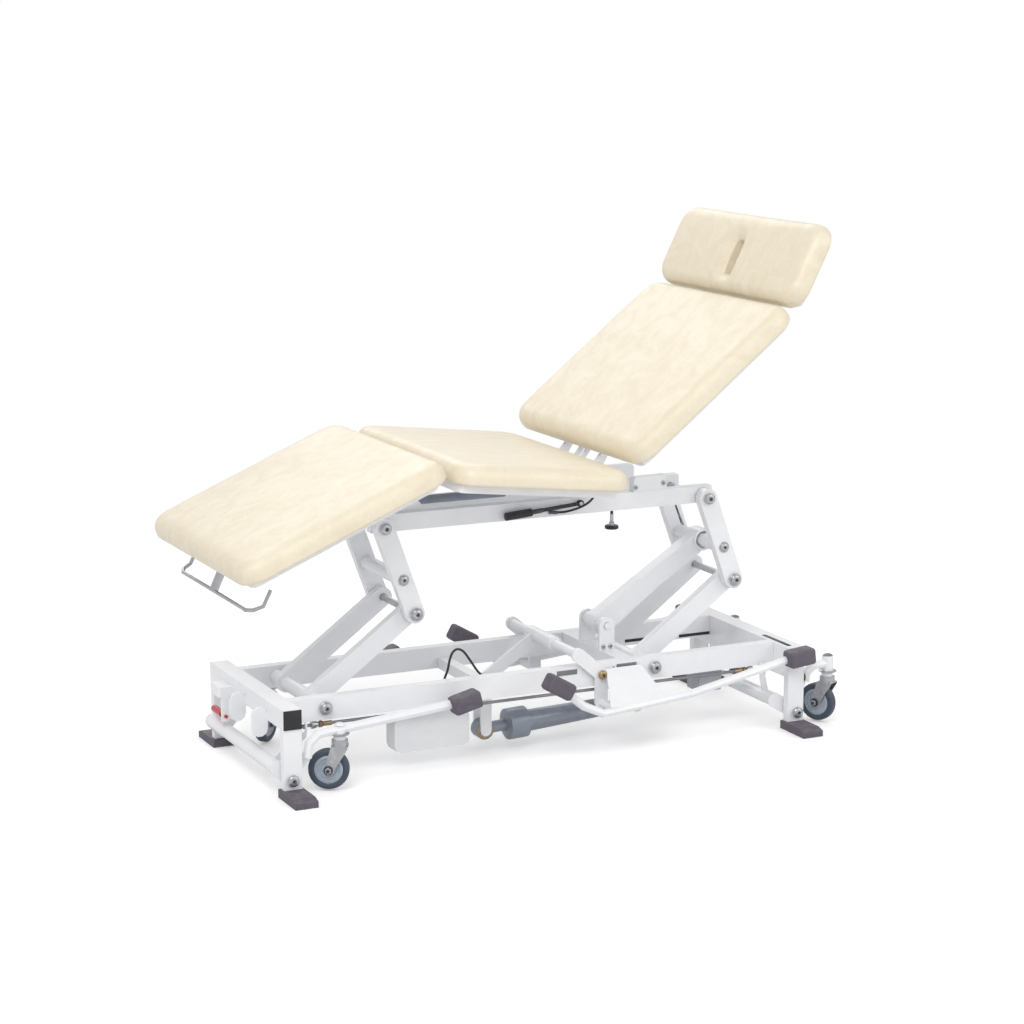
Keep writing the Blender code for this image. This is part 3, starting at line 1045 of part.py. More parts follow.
def build_sections():
    """Seat, leg, back and head: a pad on a board with its hinge lugs."""
    reach = 60 * MM
    seat = joined(board_mesh(SEAT_START, SEAT_LENGTH, KNEE_DEPTH),
                  *(lug for near in [hinge_lug(SEAT_LUG_Y, SEAT_START + BOARD_MARGIN, KNEE_DEPTH, reach)]
                    for lug in (near, mirrored(near))))
    add_piece("seat_board", on_hinge(seat, KNEE, SEAT_ANGLE), "white_frame", "seat")
    add_piece("seat_pad", on_hinge(pad_mesh(SEAT_START, SEAT_LENGTH, KNEE_DEPTH), KNEE, SEAT_ANGLE), "cream_vinyl", "seat")

    leg_start = -LEG_START
    leg = joined(board_mesh(leg_start, LEG_LENGTH, KNEE_DEPTH),
                 *(lug for near in [hinge_lug(LEG_LUG_Y, leg_start + BOARD_MARGIN, KNEE_DEPTH, 2 * reach)]
                   for lug in (near, mirrored(near))),
                 *bail_eyes())
    add_piece("leg_board", on_hinge(leg, KNEE, LEG_ANGLE, flip=True), "white_frame", "leg")
    add_piece("leg_pad", on_hinge(pad_mesh(leg_start, LEG_LENGTH, KNEE_DEPTH), KNEE, LEG_ANGLE, flip=True),
              "cream_vinyl", "leg")

    back_length = math.dist(BACK_HINGE, HEAD_HINGE) - BACK_START - BACK_END_MARGIN
    crank_angle = -math.pi / 2 - BACK_ANGLE + GAS_CRANK_LEAN
    drop = (BACK_HINGE[1] - GAS_Z) / math.cos(GAS_CRANK_LEAN)
    inner = ((drop - GAS_PIN_PLAY - OVERRUN) * math.cos(crank_angle), (drop - GAS_PIN_PLAY - OVERRUN) * math.sin(crank_angle))
    outer = ((drop + GAS_SLOT_REACH) * math.cos(crank_angle), (drop + GAS_SLOT_REACH) * math.sin(crank_angle))
    slot = slot_outline(inner, outer, GAS_PIN_R + GAS_PIN_PLAY, COARSE)
    arm = plate(slot_outline((0, 0), outer, GAS_PIN_R + GAS_PIN_PLAY + OVERRUN, COARSE), GAS_CRANK_Y, GAS_CRANK_Y + GAS_CRANK,
                [circle((0, 0), HINGE_PIN_R + RUN_GAP, COARSE), slot])
    web_start = BACK_START + BOARD_MARGIN
    web = plate([(0, HINGE_PIN_R + OVERRUN), (HINGE_PIN_R + OVERRUN, 0), (web_start + reach, BACK_DEPTH - BOARD_THICK + OVERRUN),
                 (web_start, BACK_DEPTH - BOARD_THICK + OVERRUN)],
                GAS_CRANK_Y + RUN_GAP, GAS_CRANK_Y + GAS_CRANK - RUN_GAP)
    crank = joined(arm, web)
    lug = hinge_lug(BACK_LUG_Y, BACK_START + BOARD_MARGIN, BACK_DEPTH, reach)
    back = joined(board_mesh(BACK_START, back_length, BACK_DEPTH), crank, mirrored(crank), lug, mirrored(lug))
    back = on_hinge(back, BACK_HINGE, BACK_ANGLE)
    head_ear = make_head_ears()
    head_pin = headed_pin(HEAD_HINGE, HEAD_LUG_Y + LUG_THICK)
    add_piece("back_board", joined(back, *head_ear, *head_pin), "white_frame", "back")
    add_piece("back_pad", on_hinge(pad_mesh(BACK_START, back_length, BACK_DEPTH), BACK_HINGE, BACK_ANGLE), "cream_vinyl", "back")

    nose_low = (HEAD_START + NOSE_SLOT_START, -NOSE_SLOT_WIDTH / 2, HEAD_DEPTH - BOARD_THICK - OVERRUN)
    nose_high = (HEAD_START + NOSE_SLOT_START + NOSE_SLOT_LENGTH, NOSE_SLOT_WIDTH / 2, HEAD_DEPTH + PAD_THICK + OVERRUN)
    lug = hinge_lug(HEAD_LUG_Y, HEAD_START + BOARD_MARGIN, HEAD_DEPTH, reach)
    head = cut(joined(board_mesh(HEAD_START, HEAD_LENGTH, HEAD_DEPTH), lug, mirrored(lug)),
               block(nose_low, nose_high, NOSE_SLOT_WIDTH * 0.45, 2, edges=2))
    add_piece("head_board", on_hinge(head, HEAD_HINGE, HEAD_ANGLE), "white_frame", "head")
    pad = pad_mesh(HEAD_START, HEAD_LENGTH, HEAD_DEPTH, block(nose_low, nose_high, NOSE_SLOT_WIDTH * 0.45, 2, edges=2))
    add_piece("head_pad", on_hinge(pad, HEAD_HINGE, HEAD_ANGLE), "cream_vinyl", "head")


def make_head_ears():
    """Two ears on the back board's top end that carry the head section's pin."""
    line = (math.cos(BACK_ANGLE), math.sin(BACK_ANGLE))
    normal = (-line[1], line[0])
    rise = HEAD_DEPTH - HINGE_EYE_R - 2 * RUN_GAP
    root = add_points(HEAD_HINGE, (-line[0] * 4 * HINGE_EYE_R + normal[0] * rise,
                                   -line[1] * 4 * HINGE_EYE_R + normal[1] * rise))
    ear = plate(slot_outline(root, HEAD_HINGE, HINGE_EYE_R, COARSE), HEAD_LUG_Y - LUG_THICK - 2 * RUN_GAP,
                HEAD_LUG_Y - 2 * RUN_GAP)
    return [ear, mirrored(ear)]


def bail_pivot():
    """The bail's axis on the leg section's own axes."""
    return (LEG_LENGTH - LEG_START - BAIL_PIVOT_FROM_END, KNEE_DEPTH - BOARD_THICK - BAIL_EYE_R)


def bail_eyes():
    """The two eyes under the leg board that carry the bail."""
    point = bail_pivot()
    eyes = []
    for low in (-BAIL_PLATE_HALF - RUN_GAP - BAIL_PLATE, BAIL_PLATE_HALF + RUN_GAP):
        eyes.append(plate(slot_outline(point, (point[0], point[1] + 2 * BAIL_EYE_R), BAIL_EYE_R, COARSE), low, low + BAIL_PLATE,
                          [circle(point, BAIL_R + RUN_GAP, COARSE)]))
    return eyes


def build_bail():
    """The steel bail at the foot of the leg section, on its flat plate."""
    point = bail_pivot()
    bar_x = point[0] + BAIL_DEPTH
    bar_z = point[1] - BAIL_DROP
    pin = cross_rod(point, BAIL_PLATE_HALF + BAIL_PLATE + 4 * RUN_GAP, BAIL_R, COARSE)
    strap = plate(slot_outline(point, (bar_x, bar_z), BAIL_PLATE, COARSE), -BAIL_PLATE_HALF, BAIL_PLATE_HALF)
    half, corner = BAIL_HALF, BAIL_CORNER
    end_x, end_z = bar_x - BAIL_DEPTH, bar_z + 2 * corner * 0.4
    points = [(end_x, -half, end_z), (bar_x - corner, -half, bar_z), (bar_x - corner * 0.3, -half + corner * 0.3, bar_z),
              (bar_x, -half + corner, bar_z), (bar_x, half - corner, bar_z), (bar_x - corner * 0.3, half - corner * 0.3, bar_z),
              (bar_x - corner, half, bar_z), (end_x, half, end_z)]
    bail = joined(strap, pin, wire(points, BAIL_R, 2))
    place = on_hinge(bail, KNEE, LEG_ANGLE, flip=True)
    x, z = turned_by((-point[0], point[1]), LEG_ANGLE)
    add_body("bail", (KNEE[0] + x, 0, KNEE[1] + z), "leg")
    add_piece("leg_bail", place, "zinc_steel", "bail")


def build_controls():
    """The release lever with its cable, the clamp knob and the red lock knob."""
    grip_end = Vector((LEVER_GRIP_END[0], LEVER_Y, LEVER_GRIP_END[1]))
    pivot = Vector((LEVER_PIVOT[0], LEVER_Y, LEVER_PIVOT[1]))
    along = (pivot - grip_end).normalized()
    eye = rod(pivot - Vector((0, LEVER_R, 0)), pivot + Vector((0, LEVER_R, 0)), LEVER_EYE_R, COARSE)
    grip = rod(grip_end, grip_end + along * LEVER_GRIP_LENGTH, LEVER_GRIP_R)
    bar = rod(grip_end + along * LEVER_GRIP_LENGTH / 2, pivot - along * LEVER_R, LEVER_R, COARSE)
    lever = cut(joined(grip, bar, eye), rod(pivot - Vector((0, LEVER_STUD, 0)), pivot + Vector((0, LEVER_STUD, 0)),
                                            LEVER_R + RUN_GAP, COARSE))
    add_piece("release_lever", lever, "black_plastic", "lever")
    add_piece("release_cable", wire(smooth_route(CABLE_ROUTE, 2), CABLE_R), "black_plastic", "upper_frame")
    knob_z = TOP_RAIL_BOTTOM_Z - KNOB_STEM_LENGTH
    stem = rod((KNOB_X, KNOB_Y, knob_z), (KNOB_X, KNOB_Y, TOP_RAIL_BOTTOM_Z - SEAT_GAP), KNOB_STEM_R, COARSE)
    knob = rod((KNOB_X, KNOB_Y, knob_z - KNOB_HEIGHT / 2), (KNOB_X, KNOB_Y, knob_z + KNOB_HEIGHT / 2), KNOB_R)
    add_piece("clamp_knob", joined(knob, stem), "black_plastic", "knob")
    start = Vector(LOCK_FROM)
    grip_low = start.y + LOCK_STEM_LENGTH
    grip = rod((start.x, grip_low, start.z), (start.x, grip_low + LOCK_LENGTH, start.z), LOCK_R)
    stem = rod((start.x, start.y - OVERRUN, start.z), (start.x, grip_low + OVERRUN, start.z), LOCK_STEM_R, COARSE)
    add_piece("lock_knob", joined(grip, stem), "red_plastic", "lock")


add_bodies()
build_floor_frame()
build_stand()
build_lift()
build_actuator()
build_boxes()
build_rocker()
build_castors()
build_upper_frame()
build_gas_spring()
build_sections()
build_bail()
build_controls()
for leftover in list(WORKSHOP.objects):
    bpy.data.objects.remove(leftover)
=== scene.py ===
"""Looks of a powered treatment table: finishes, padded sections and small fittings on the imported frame."""

import json
import logging
import math
from dataclasses import dataclass, field
from enum import Enum

import bmesh
import bpy
from mathutils import Matrix, Vector, noise
from mathutils.bvhtree import BVHTree


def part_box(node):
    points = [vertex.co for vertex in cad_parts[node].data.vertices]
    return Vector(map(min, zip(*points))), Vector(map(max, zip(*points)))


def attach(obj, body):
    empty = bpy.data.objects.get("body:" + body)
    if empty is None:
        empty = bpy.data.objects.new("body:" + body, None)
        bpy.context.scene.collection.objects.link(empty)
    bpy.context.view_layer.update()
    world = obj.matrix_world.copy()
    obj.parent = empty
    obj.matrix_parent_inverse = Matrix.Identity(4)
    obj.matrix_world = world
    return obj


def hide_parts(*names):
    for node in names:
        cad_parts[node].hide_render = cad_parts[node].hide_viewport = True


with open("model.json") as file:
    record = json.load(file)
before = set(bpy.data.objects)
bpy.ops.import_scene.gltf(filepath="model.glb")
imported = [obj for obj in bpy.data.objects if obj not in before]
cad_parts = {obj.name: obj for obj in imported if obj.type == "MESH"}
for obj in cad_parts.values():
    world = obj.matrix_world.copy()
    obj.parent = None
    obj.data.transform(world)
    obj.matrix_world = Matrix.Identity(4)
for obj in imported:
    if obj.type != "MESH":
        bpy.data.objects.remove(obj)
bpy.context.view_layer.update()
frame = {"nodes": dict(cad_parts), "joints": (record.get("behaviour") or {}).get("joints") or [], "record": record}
LOG = logging.getLogger("treatment_table")

Colour = tuple[float, float, float]
Profile = list[tuple[float, float]]

# The middle of the table from the foot shoes' outer edge, so that places read as on the drawing
MIDDLE_X = 0.7182
FULL_TURN = 2 * math.pi
SAME_PLACE = 1e-6
MIX_FACTOR, MIX_FIRST, MIX_SECOND, MIX_RESULT = 0, 6, 7, 2
WHITE = (1, 1, 1, 1)


class Slot(Enum):
    """The record's material slots."""

    FRAME = "white_frame"
    VINYL = "cream_vinyl"
    RUBBER = "grey_rubber"
    BLACK = "black_plastic"
    ZINC = "zinc_steel"
    TYRE = "blue_tyre"
    ACTUATOR = "actuator_grey"
    HOUSING = "white_plastic"
    GREY = "grey_plastic"
    RED = "red_plastic"


class Side(Enum):
    """The side of the table, by the sign of Y."""

    NEAR = -1
    FAR = 1


BOTH_SIDES = (Side.NEAR, Side.FAR)


def place(x: float, y: float, z: float) -> Vector:
    """Turns a place on the drawing into the row frame."""
    return Vector((x - MIDDLE_X, y, z))


# Shader groups


class EffectGroup:
    """A shader node group that is built once and placed in several materials."""

    title = ""
    inputs: dict[str, float] = {}
    outputs: tuple[str, ...] = ()

    @classmethod
    def tree(cls) -> bpy.types.ShaderNodeTree:
        """Returns the group, building it on first use."""
        found = bpy.data.node_groups.get(cls.title)
        if found:
            return found
        tree = bpy.data.node_groups.new(cls.title, "ShaderNodeTree")
        for name, value in cls.inputs.items():
            socket = tree.interface.new_socket(name, in_out="INPUT", socket_type="NodeSocketFloat")
            socket.default_value = value
        for name in cls.outputs:
            tree.interface.new_socket(name, in_out="OUTPUT", socket_type="NodeSocketFloat")
        entry = tree.nodes.new("NodeGroupInput")
        leave = tree.nodes.new("NodeGroupOutput")
        cls.wire_up(tree, entry, leave)
        return tree

    @classmethod
    def wire_up(cls, tree: bpy.types.ShaderNodeTree, entry: bpy.types.Node, leave: bpy.types.Node) -> None:
        """Adds the group's own nodes between its input and output."""
        raise NotImplementedError

    @staticmethod
    def calc(tree: bpy.types.NodeTree, operation: str, first: object,
             second: object = 0.5) -> bpy.types.NodeSocket:
        """Adds a Math node.

        Args:
            tree: The tree that gets the node.
            operation: The Math node's operation.
            first: A socket or a number.
            second: A socket or a number.

        Returns:
            The node's output.
        """
        node = tree.nodes.new("ShaderNodeMath")
        node.operation = operation
        for index, value in enumerate((first, second)):
            if isinstance(value, bpy.types.NodeSocket):
                tree.links.new(value, node.inputs[index])
            else:
                node.inputs[index].default_value = value
        return node.outputs[0]

    @staticmethod
    def ramp(tree: bpy.types.NodeTree, value: bpy.types.NodeSocket, low: float, high: float,
             out_low: float = 0.0, out_high: float = 1.0) -> bpy.types.NodeSocket:
        """Adds a smooth Map Range from low..high to out_low..out_high and returns its output."""
        node = tree.nodes.new("ShaderNodeMapRange")
        node.interpolation_type = "SMOOTHSTEP"
        node.inputs["From Min"].default_value = low
        node.inputs["From Max"].default_value = high
        node.inputs["To Min"].default_value = out_low
        node.inputs["To Max"].default_value = out_high
        tree.links.new(value, node.inputs["Value"])
        return node.outputs["Result"]

    @classmethod
    def noise_of(cls, tree: bpy.types.NodeTree, scale: bpy.types.NodeSocket, detail: float,
                 stretch: tuple[float, float, float] = (1, 1, 1), warp: float = 0.0) -> bpy.types.NodeSocket:
        """Adds a Noise Texture on Object coordinates.

        Args:
            tree: The tree that gets the nodes.
            scale: The socket with the pattern's scale.
            detail: The noise's octaves.
            stretch: How much the pattern is packed along each axis.
            warp: The noise's distortion.

        Returns:
            The noise's value.
        """
        coordinates = tree.nodes.new("ShaderNodeTexCoord")
        mapping = tree.nodes.new("ShaderNodeMapping")
        mapping.inputs["Scale"].default_value = stretch
        tree.links.new(coordinates.outputs["Object"], mapping.inputs["Vector"])
        texture = tree.nodes.new("ShaderNodeTexNoise")
        texture.inputs["Detail"].default_value = detail
        texture.inputs["Distortion"].default_value = warp
        tree.links.new(mapping.outputs["Vector"], texture.inputs["Vector"])
        tree.links.new(scale, texture.inputs["Scale"])
        return texture.outputs["Fac"]


class OrangePeel(EffectGroup):
    """The soft ripple of sprayed paint and moulded plastic."""

    title = "orange_peel"
    inputs = {"Size": 0.004}
    outputs = ("Height",)

    @classmethod
    def wire_up(cls, tree: bpy.types.ShaderNodeTree, entry: bpy.types.Node, leave: bpy.types.Node) -> None:
        """Wires one fine noise to Height."""
        scale = cls.calc(tree, "DIVIDE", 1.0, entry.outputs["Size"])
        tree.links.new(cls.noise_of(tree, scale, 2.0), leave.inputs["Height"])


class Clouding(EffectGroup):
    """Soft patches of a second shade, as in marbled vinyl, handled paint and worn rubber."""

    title = "clouding"
    inputs = {"Size": 0.05, "Spread": 0.2}
    outputs = ("Mask",)
    finer, wide_share, fine_share = 3.1, 0.65, 0.35

    @classmethod
    def wire_up(cls, tree: bpy.types.ShaderNodeTree, entry: bpy.types.Node, leave: bpy.types.Node) -> None:
        """Wires two noises, one warped, to a mask about one half."""
        wide_scale = cls.calc(tree, "DIVIDE", 1.0, entry.outputs["Size"])
        wide = cls.noise_of(tree, wide_scale, 4.0, (0.6, 1.0, 1.0), 1.6)
        fine_scale = cls.calc(tree, "DIVIDE", cls.finer, entry.outputs["Size"])
        fine = cls.noise_of(tree, fine_scale, 5.0, (1.0, 0.8, 1.0), 0.8)
        both = cls.calc(tree, "ADD", cls.calc(tree, "MULTIPLY", wide, cls.wide_share),
                        cls.calc(tree, "MULTIPLY", fine, cls.fine_share))
        scaled = cls.calc(tree, "DIVIDE", cls.calc(tree, "SUBTRACT", both), entry.outputs["Spread"])
        lifted = cls.calc(tree, "ADD", scaled)
        lifted.node.use_clamp = True
        tree.links.new(lifted, leave.inputs["Mask"])


class HideGrain(EffectGroup):
    """The pebbled grain that is pressed into vinyl and rubber, with a mask of painted shade along the crease lines
    between its cells.
    """

    title = "hide_grain"
    inputs = {"Size": 0.0016}
    outputs = ("Height", "Creases")

    @classmethod
    def wire_up(cls, tree: bpy.types.ShaderNodeTree, entry: bpy.types.Node, leave: bpy.types.Node) -> None:
        """Wires rounded Voronoi cells to Height and the lines between them to a mask of painted shade for the
        grain's crease lines.
        """
        coordinates = tree.nodes.new("ShaderNodeTexCoord")
        cells = tree.nodes.new("ShaderNodeTexVoronoi")
        cells.feature = "SMOOTH_F1"
        cells.inputs["Smoothness"].default_value = 0.35
        tree.links.new(coordinates.outputs["Object"], cells.inputs["Vector"])
        tree.links.new(cls.calc(tree, "DIVIDE", 1.0, entry.outputs["Size"]), cells.inputs["Scale"])
        away = cells.outputs["Distance"]
        tree.links.new(cls.ramp(tree, away, 0.1, 0.75, 1.0, 0.0), leave.inputs["Height"])
        tree.links.new(cls.ramp(tree, away, 0.45, 0.8), leave.inputs["Creases"])


class SettledDust(EffectGroup):
    """Dust on faces that look up, broken by a noise."""

    title = "settled_dust"
    inputs = {"Amount": 0.3, "Size": 0.02}
    outputs = ("Mask",)

    @classmethod
    def wire_up(cls, tree: bpy.types.ShaderNodeTree, entry: bpy.types.Node, leave: bpy.types.Node) -> None:
        """Wires the face's upward lean times a noise to Mask."""
        geometry = tree.nodes.new("ShaderNodeNewGeometry")
        split = tree.nodes.new("ShaderNodeSeparateXYZ")
        tree.links.new(geometry.outputs["Normal"], split.inputs["Vector"])
        up = cls.ramp(tree, split.outputs["Z"], 0.2, 1.0)
        patches = cls.noise_of(tree, cls.calc(tree, "DIVIDE", 1.0, entry.outputs["Size"]), 4.0)
        broken = cls.ramp(tree, patches, 0.35, 0.75)
        dusted = cls.calc(tree, "MULTIPLY", up, broken)
        tree.links.new(cls.calc(tree, "MULTIPLY", dusted, entry.outputs["Amount"]), leave.inputs["Mask"])


class BrushedLines(EffectGroup):
    """Fine drawn lines in steel, along X, and slow stains of plating."""

    title = "brushed_lines"
    inputs = {"Size": 0.0012}
    outputs = ("Height", "Stain")

    @classmethod
    def wire_up(cls, tree: bpy.types.ShaderNodeTree, entry: bpy.types.Node, leave: bpy.types.Node) -> None:
        """Wires a stretched noise to Height and a slow one to Stain."""
        scale = cls.calc(tree, "DIVIDE", 1.0, entry.outputs["Size"])
        tree.links.new(cls.noise_of(tree, scale, 3.0, (0.06, 1.0, 1.0)), leave.inputs["Height"])
        slow = cls.noise_of(tree, cls.calc(tree, "MULTIPLY", scale, 0.05), 4.0, warp=1.0)
        tree.links.new(cls.ramp(tree, slow, 0.35, 0.7), leave.inputs["Stain"])


@dataclass(frozen=True)
class Finish:
    """A surface finish: two shades of a colour with a mask between them, a grain and a gloss.

    Attributes:
        name: The material's name.
        colour: The main colour, linear.
        shade: The colour that the clouding mixes in.
        cloud_size: The size of the clouding's patches, in metres.
        cloud_spread: How soft the clouding is; small is hard.
        roughness: The lowest and highest roughness.
        grain: The group that gives the relief.
        grain_size: The relief's size, in metres.
        grain_depth: The relief's depth, in metres.
        metallic: The shader's Metallic.
        coat: The shader's Coat Weight.
        sheen: The shader's Sheen Weight.
        dust: The share of dust on faces that look up.
        dust_colour: The dust's colour.
        creases: The painted shade along the grain's crease lines: how much it shows, and how dark it is against
            the shade colour.
        stain: How much the plating's stains show, and how dark they are against the shade.
        coat_roughness: The shader's Coat Roughness.
        sheen_roughness: The shader's Sheen Roughness.
    """

    name: str
    colour: Colour
    shade: Colour
    cloud_size: float = 0.08
    cloud_spread: float = 0.3
    roughness: tuple[float, float] = (0.3, 0.42)
    grain: type[EffectGroup] = OrangePeel
    grain_size: float = 0.003
    grain_depth: float = 0.00006
    metallic: float = 0.0
    coat: float = 0.0
    sheen: float = 0.0
    dust: float = 0.0
    dust_colour: Colour = (0.55, 0.53, 0.5)
    # Painted shade in the grain's crease lines: its share and its darkness.
    creases: tuple[float, float] = (0.25, 0.7)
    stain: tuple[float, float] = (0.3, 0.75)
    coat_roughness: float = 0.12
    sheen_roughness: float = 0.5

    def group(self, tree: bpy.types.NodeTree, effect: type[EffectGroup], **values: float) -> bpy.types.Node:
        """Places an effect's group in a material with its own values."""
        node = tree.nodes.new("ShaderNodeGroup")
        node.node_tree = effect.tree()
        for name, value in values.items():
            node.inputs[name].default_value = value
        return node

    def mixed(self, tree: bpy.types.NodeTree, mask: bpy.types.NodeSocket, first: object,
              second: Colour) -> bpy.types.NodeSocket:
        """Mixes two colours by a mask and returns the colour socket."""
        node = tree.nodes.new("ShaderNodeMix")
        node.data_type = "RGBA"
        tree.links.new(mask, node.inputs[MIX_FACTOR])
        if isinstance(first, bpy.types.NodeSocket):
            tree.links.new(first, node.inputs[MIX_FIRST])
        else:
            node.inputs[MIX_FIRST].default_value = (*first, 1)
        node.inputs[MIX_SECOND].default_value = (*second, 1)
        return node.outputs[MIX_RESULT]

    def material(self) -> bpy.types.Material:
        """Returns the finish's material, building it on first use."""
        found = bpy.data.materials.get(self.name)
        if found:
            return found
        material = bpy.data.materials.new(self.name)
        material.use_nodes = True
        tree = material.node_tree
        shader = tree.nodes["Principled BSDF"]
        clouds = self.group(tree, Clouding, Size=self.cloud_size, Spread=self.cloud_spread).outputs["Mask"]
        colour = self.mixed(tree, clouds, self.colour, self.shade)
        grain = self.group(tree, self.grain, Size=self.grain_size)
        # Painted shade darkens the grain's crease lines; the plating's stains are real colour.
        for output, (amount, darkness) in (("Creases", self.creases), ("Stain", self.stain)):
            if output in grain.outputs:
                mask = EffectGroup.calc(tree, "MULTIPLY", grain.outputs[output], amount)
                colour = self.mixed(tree, mask, colour, tuple(darkness * c for c in self.shade))
        gloss = EffectGroup.ramp(tree, clouds, 0.0, 1.0, *self.roughness)
        if self.dust:
            dust = self.group(tree, SettledDust, Amount=self.dust).outputs["Mask"]
            colour = self.mixed(tree, dust, colour, self.dust_colour)
        tree.links.new(colour, shader.inputs["Base Color"])
        tree.links.new(gloss, shader.inputs["Roughness"])
        bump = tree.nodes.new("ShaderNodeBump")
        bump.inputs["Strength"].default_value = 1.0
        bump.inputs["Distance"].default_value = self.grain_depth
        tree.links.new(grain.outputs["Height"], bump.inputs["Height"])
        tree.links.new(bump.outputs["Normal"], shader.inputs["Normal"])
        for socket, value in (("Metallic", self.metallic), ("Coat Weight", self.coat),
                              ("Sheen Weight", self.sheen), ("Coat Roughness", self.coat_roughness),
                              ("Sheen Roughness", self.sheen_roughness)):
            shader.inputs[socket].default_value = value
        return material


POWDER_COAT = Finish("powder_coat", (0.86, 0.865, 0.885), (0.82, 0.825, 0.85), 0.12, 0.3, (0.28, 0.38),
                     grain_size=0.0022, grain_depth=0.00005, coat=0.2)
CREAM_VINYL = Finish("cream_vinyl_marbled", (0.835, 0.752, 0.592), (0.78, 0.69, 0.52), 0.07, 0.24,
                     (0.36, 0.46), HideGrain, 0.0014, 0.00006, coat=0.1, sheen=0.08)
PEDAL_RUBBER = Finish("pedal_rubber", (0.095, 0.08, 0.105), (0.13, 0.112, 0.142), 0.03, 0.25, (0.5, 0.66),
                      HideGrain, 0.0011, 0.00008, dust=0.12)
BLACK_PLASTIC = Finish("black_moulding", (0.012, 0.012, 0.014), (0.022, 0.022, 0.026), 0.03, 0.3,
                       (0.32, 0.5), grain_size=0.0012, grain_depth=0.00005, dust=0.08)
ZINC = Finish("zinc_plate", (0.58, 0.59, 0.61), (0.46, 0.46, 0.49), 0.012, 0.35, (0.24, 0.42),
              BrushedLines, 0.0012, 0.00003, metallic=1.0)
DARK_STEEL = Finish("dark_steel", (0.12, 0.12, 0.14), (0.07, 0.07, 0.08), 0.01, 0.3, (0.35, 0.5),
                    BrushedLines, 0.001, 0.00003, metallic=0.8)
ROD_STEEL = Finish("rod_steel", (0.3, 0.3, 0.32), (0.22, 0.22, 0.24), 0.01, 0.3, (0.35, 0.5),
                   BrushedLines, 0.001, 0.00003, metallic=0.6)
BRASS = Finish("brass", (0.48, 0.36, 0.2), (0.38, 0.28, 0.16), 0.01, 0.3, (0.28, 0.42),
               BrushedLines, 0.001, 0.00003, metallic=1.0)
TYRE = Finish("tyre_rubber", (0.045, 0.06, 0.09), (0.065, 0.082, 0.115), 0.02, 0.3, (0.42, 0.56),
              grain_size=0.0016, grain_depth=0.00005, dust=0.15)
HUB = Finish("hub_moulding", (0.34, 0.40, 0.47), (0.43, 0.49, 0.55), 0.018, 0.3, (0.3, 0.42),
             grain_size=0.0014, grain_depth=0.00004, coat=0.15)
ACTUATOR_PAINT = Finish("actuator_paint", (0.24, 0.27, 0.325), (0.3, 0.33, 0.385), 0.04, 0.3, (0.28, 0.4),
                        grain_size=0.0018, grain_depth=0.00004, metallic=0.3, coat=0.15)
HOUSING = Finish("white_housing", (0.84, 0.85, 0.865), (0.8, 0.81, 0.83), 0.05, 0.3, (0.3, 0.4),
                 grain_size=0.0012, grain_depth=0.00004)
GREY_PLASTIC = Finish("grey_housing", (0.4, 0.41, 0.45), (0.46, 0.47, 0.5), 0.03, 0.3, (0.38, 0.5),
                      grain_size=0.0012, grain_depth=0.00004)
RED_PLASTIC = Finish("red_grip", (0.55, 0.012, 0.02), (0.46, 0.01, 0.018), 0.012, 0.3, (0.2, 0.32),
                     grain_size=0.0012, grain_depth=0.00003, coat=0.3)
LABEL_GREY = Finish("bare_label", (0.2, 0.2, 0.21), (0.25, 0.25, 0.26), 0.01, 0.3, (0.35, 0.45),
                    BrushedLines, 0.0008, 0.00001, metallic=0.5)

SLOT_FINISHES = {
    Slot.FRAME: POWDER_COAT, Slot.VINYL: CREAM_VINYL, Slot.RUBBER: PEDAL_RUBBER, Slot.BLACK: BLACK_PLASTIC,
    Slot.ZINC: ZINC, Slot.TYRE: TYRE, Slot.ACTUATOR: ACTUATOR_PAINT, Slot.HOUSING: HOUSING,
    Slot.GREY: GREY_PLASTIC, Slot.RED: RED_PLASTIC,
}

NODE_FINISHES = {"castor_rod": ROD_STEEL, "gas_cylinder": ACTUATOR_PAINT}
WELD_REACH = 1e-5
FLAT_ANGLE = 1.5
EDGE_WIDTH = 0.0009
EDGE_ANGLE = 35.0
ROUND_STEPS = 2
ON_AXIS = 0.9


# Shapes


def free_shape(work: bmesh.types.BMesh) -> bpy.types.Mesh:
    """Turns a bmesh into a mesh and frees it."""
    mesh = bpy.data.meshes.new("shape")
    work.to_mesh(mesh)
    work.free()
    return mesh


def turned(profile: Profile, steps: int = 32) -> bmesh.types.BMesh:
    """Spins a line of (radius, height) points about Z into a closed shape.

    Args:
        profile: The points, in order. It starts and ends on the axis, or at the same point.
        steps: The number of sides.

    Returns:
        The shape, with its faces outwards.
    """
    work = bmesh.new()
    points = [work.verts.new((radius, 0, height)) for radius, height in profile]
    line = [work.edges.new(pair) for pair in zip(points, points[1:])]
    bmesh.ops.spin(work, geom=points + line, cent=(0, 0, 0), axis=(0, 0, 1), dvec=(0, 0, 0),
                   angle=FULL_TURN, steps=steps, use_merge=True, use_duplicate=False)
    bmesh.ops.remove_doubles(work, verts=work.verts, dist=SAME_PLACE)
    bmesh.ops.dissolve_degenerate(work, edges=work.edges, dist=SAME_PLACE)
    bmesh.ops.recalc_face_normals(work, faces=work.faces)
    return work


def round_edges(work: bmesh.types.BMesh, edges: list[bmesh.types.BMEdge], width: float) -> None:
    """Rounds some edges of a shape."""
    bmesh.ops.bevel(work, geom=edges, offset=width, segments=ROUND_STEPS, affect="EDGES", profile=0.5,
                    material=-1)


def slab(low: Vector, high: Vector, edge: float = 0.0) -> bmesh.types.BMesh:
    """Makes a block between two corners, with its edges rounded."""
    work = bmesh.new()
    bmesh.ops.create_cube(work, size=1.0)
    bmesh.ops.scale(work, vec=high - low, verts=work.verts)
    bmesh.ops.translate(work, vec=(high + low) / 2, verts=work.verts)
    if edge:
        round_edges(work, list(work.edges), edge)
    return work


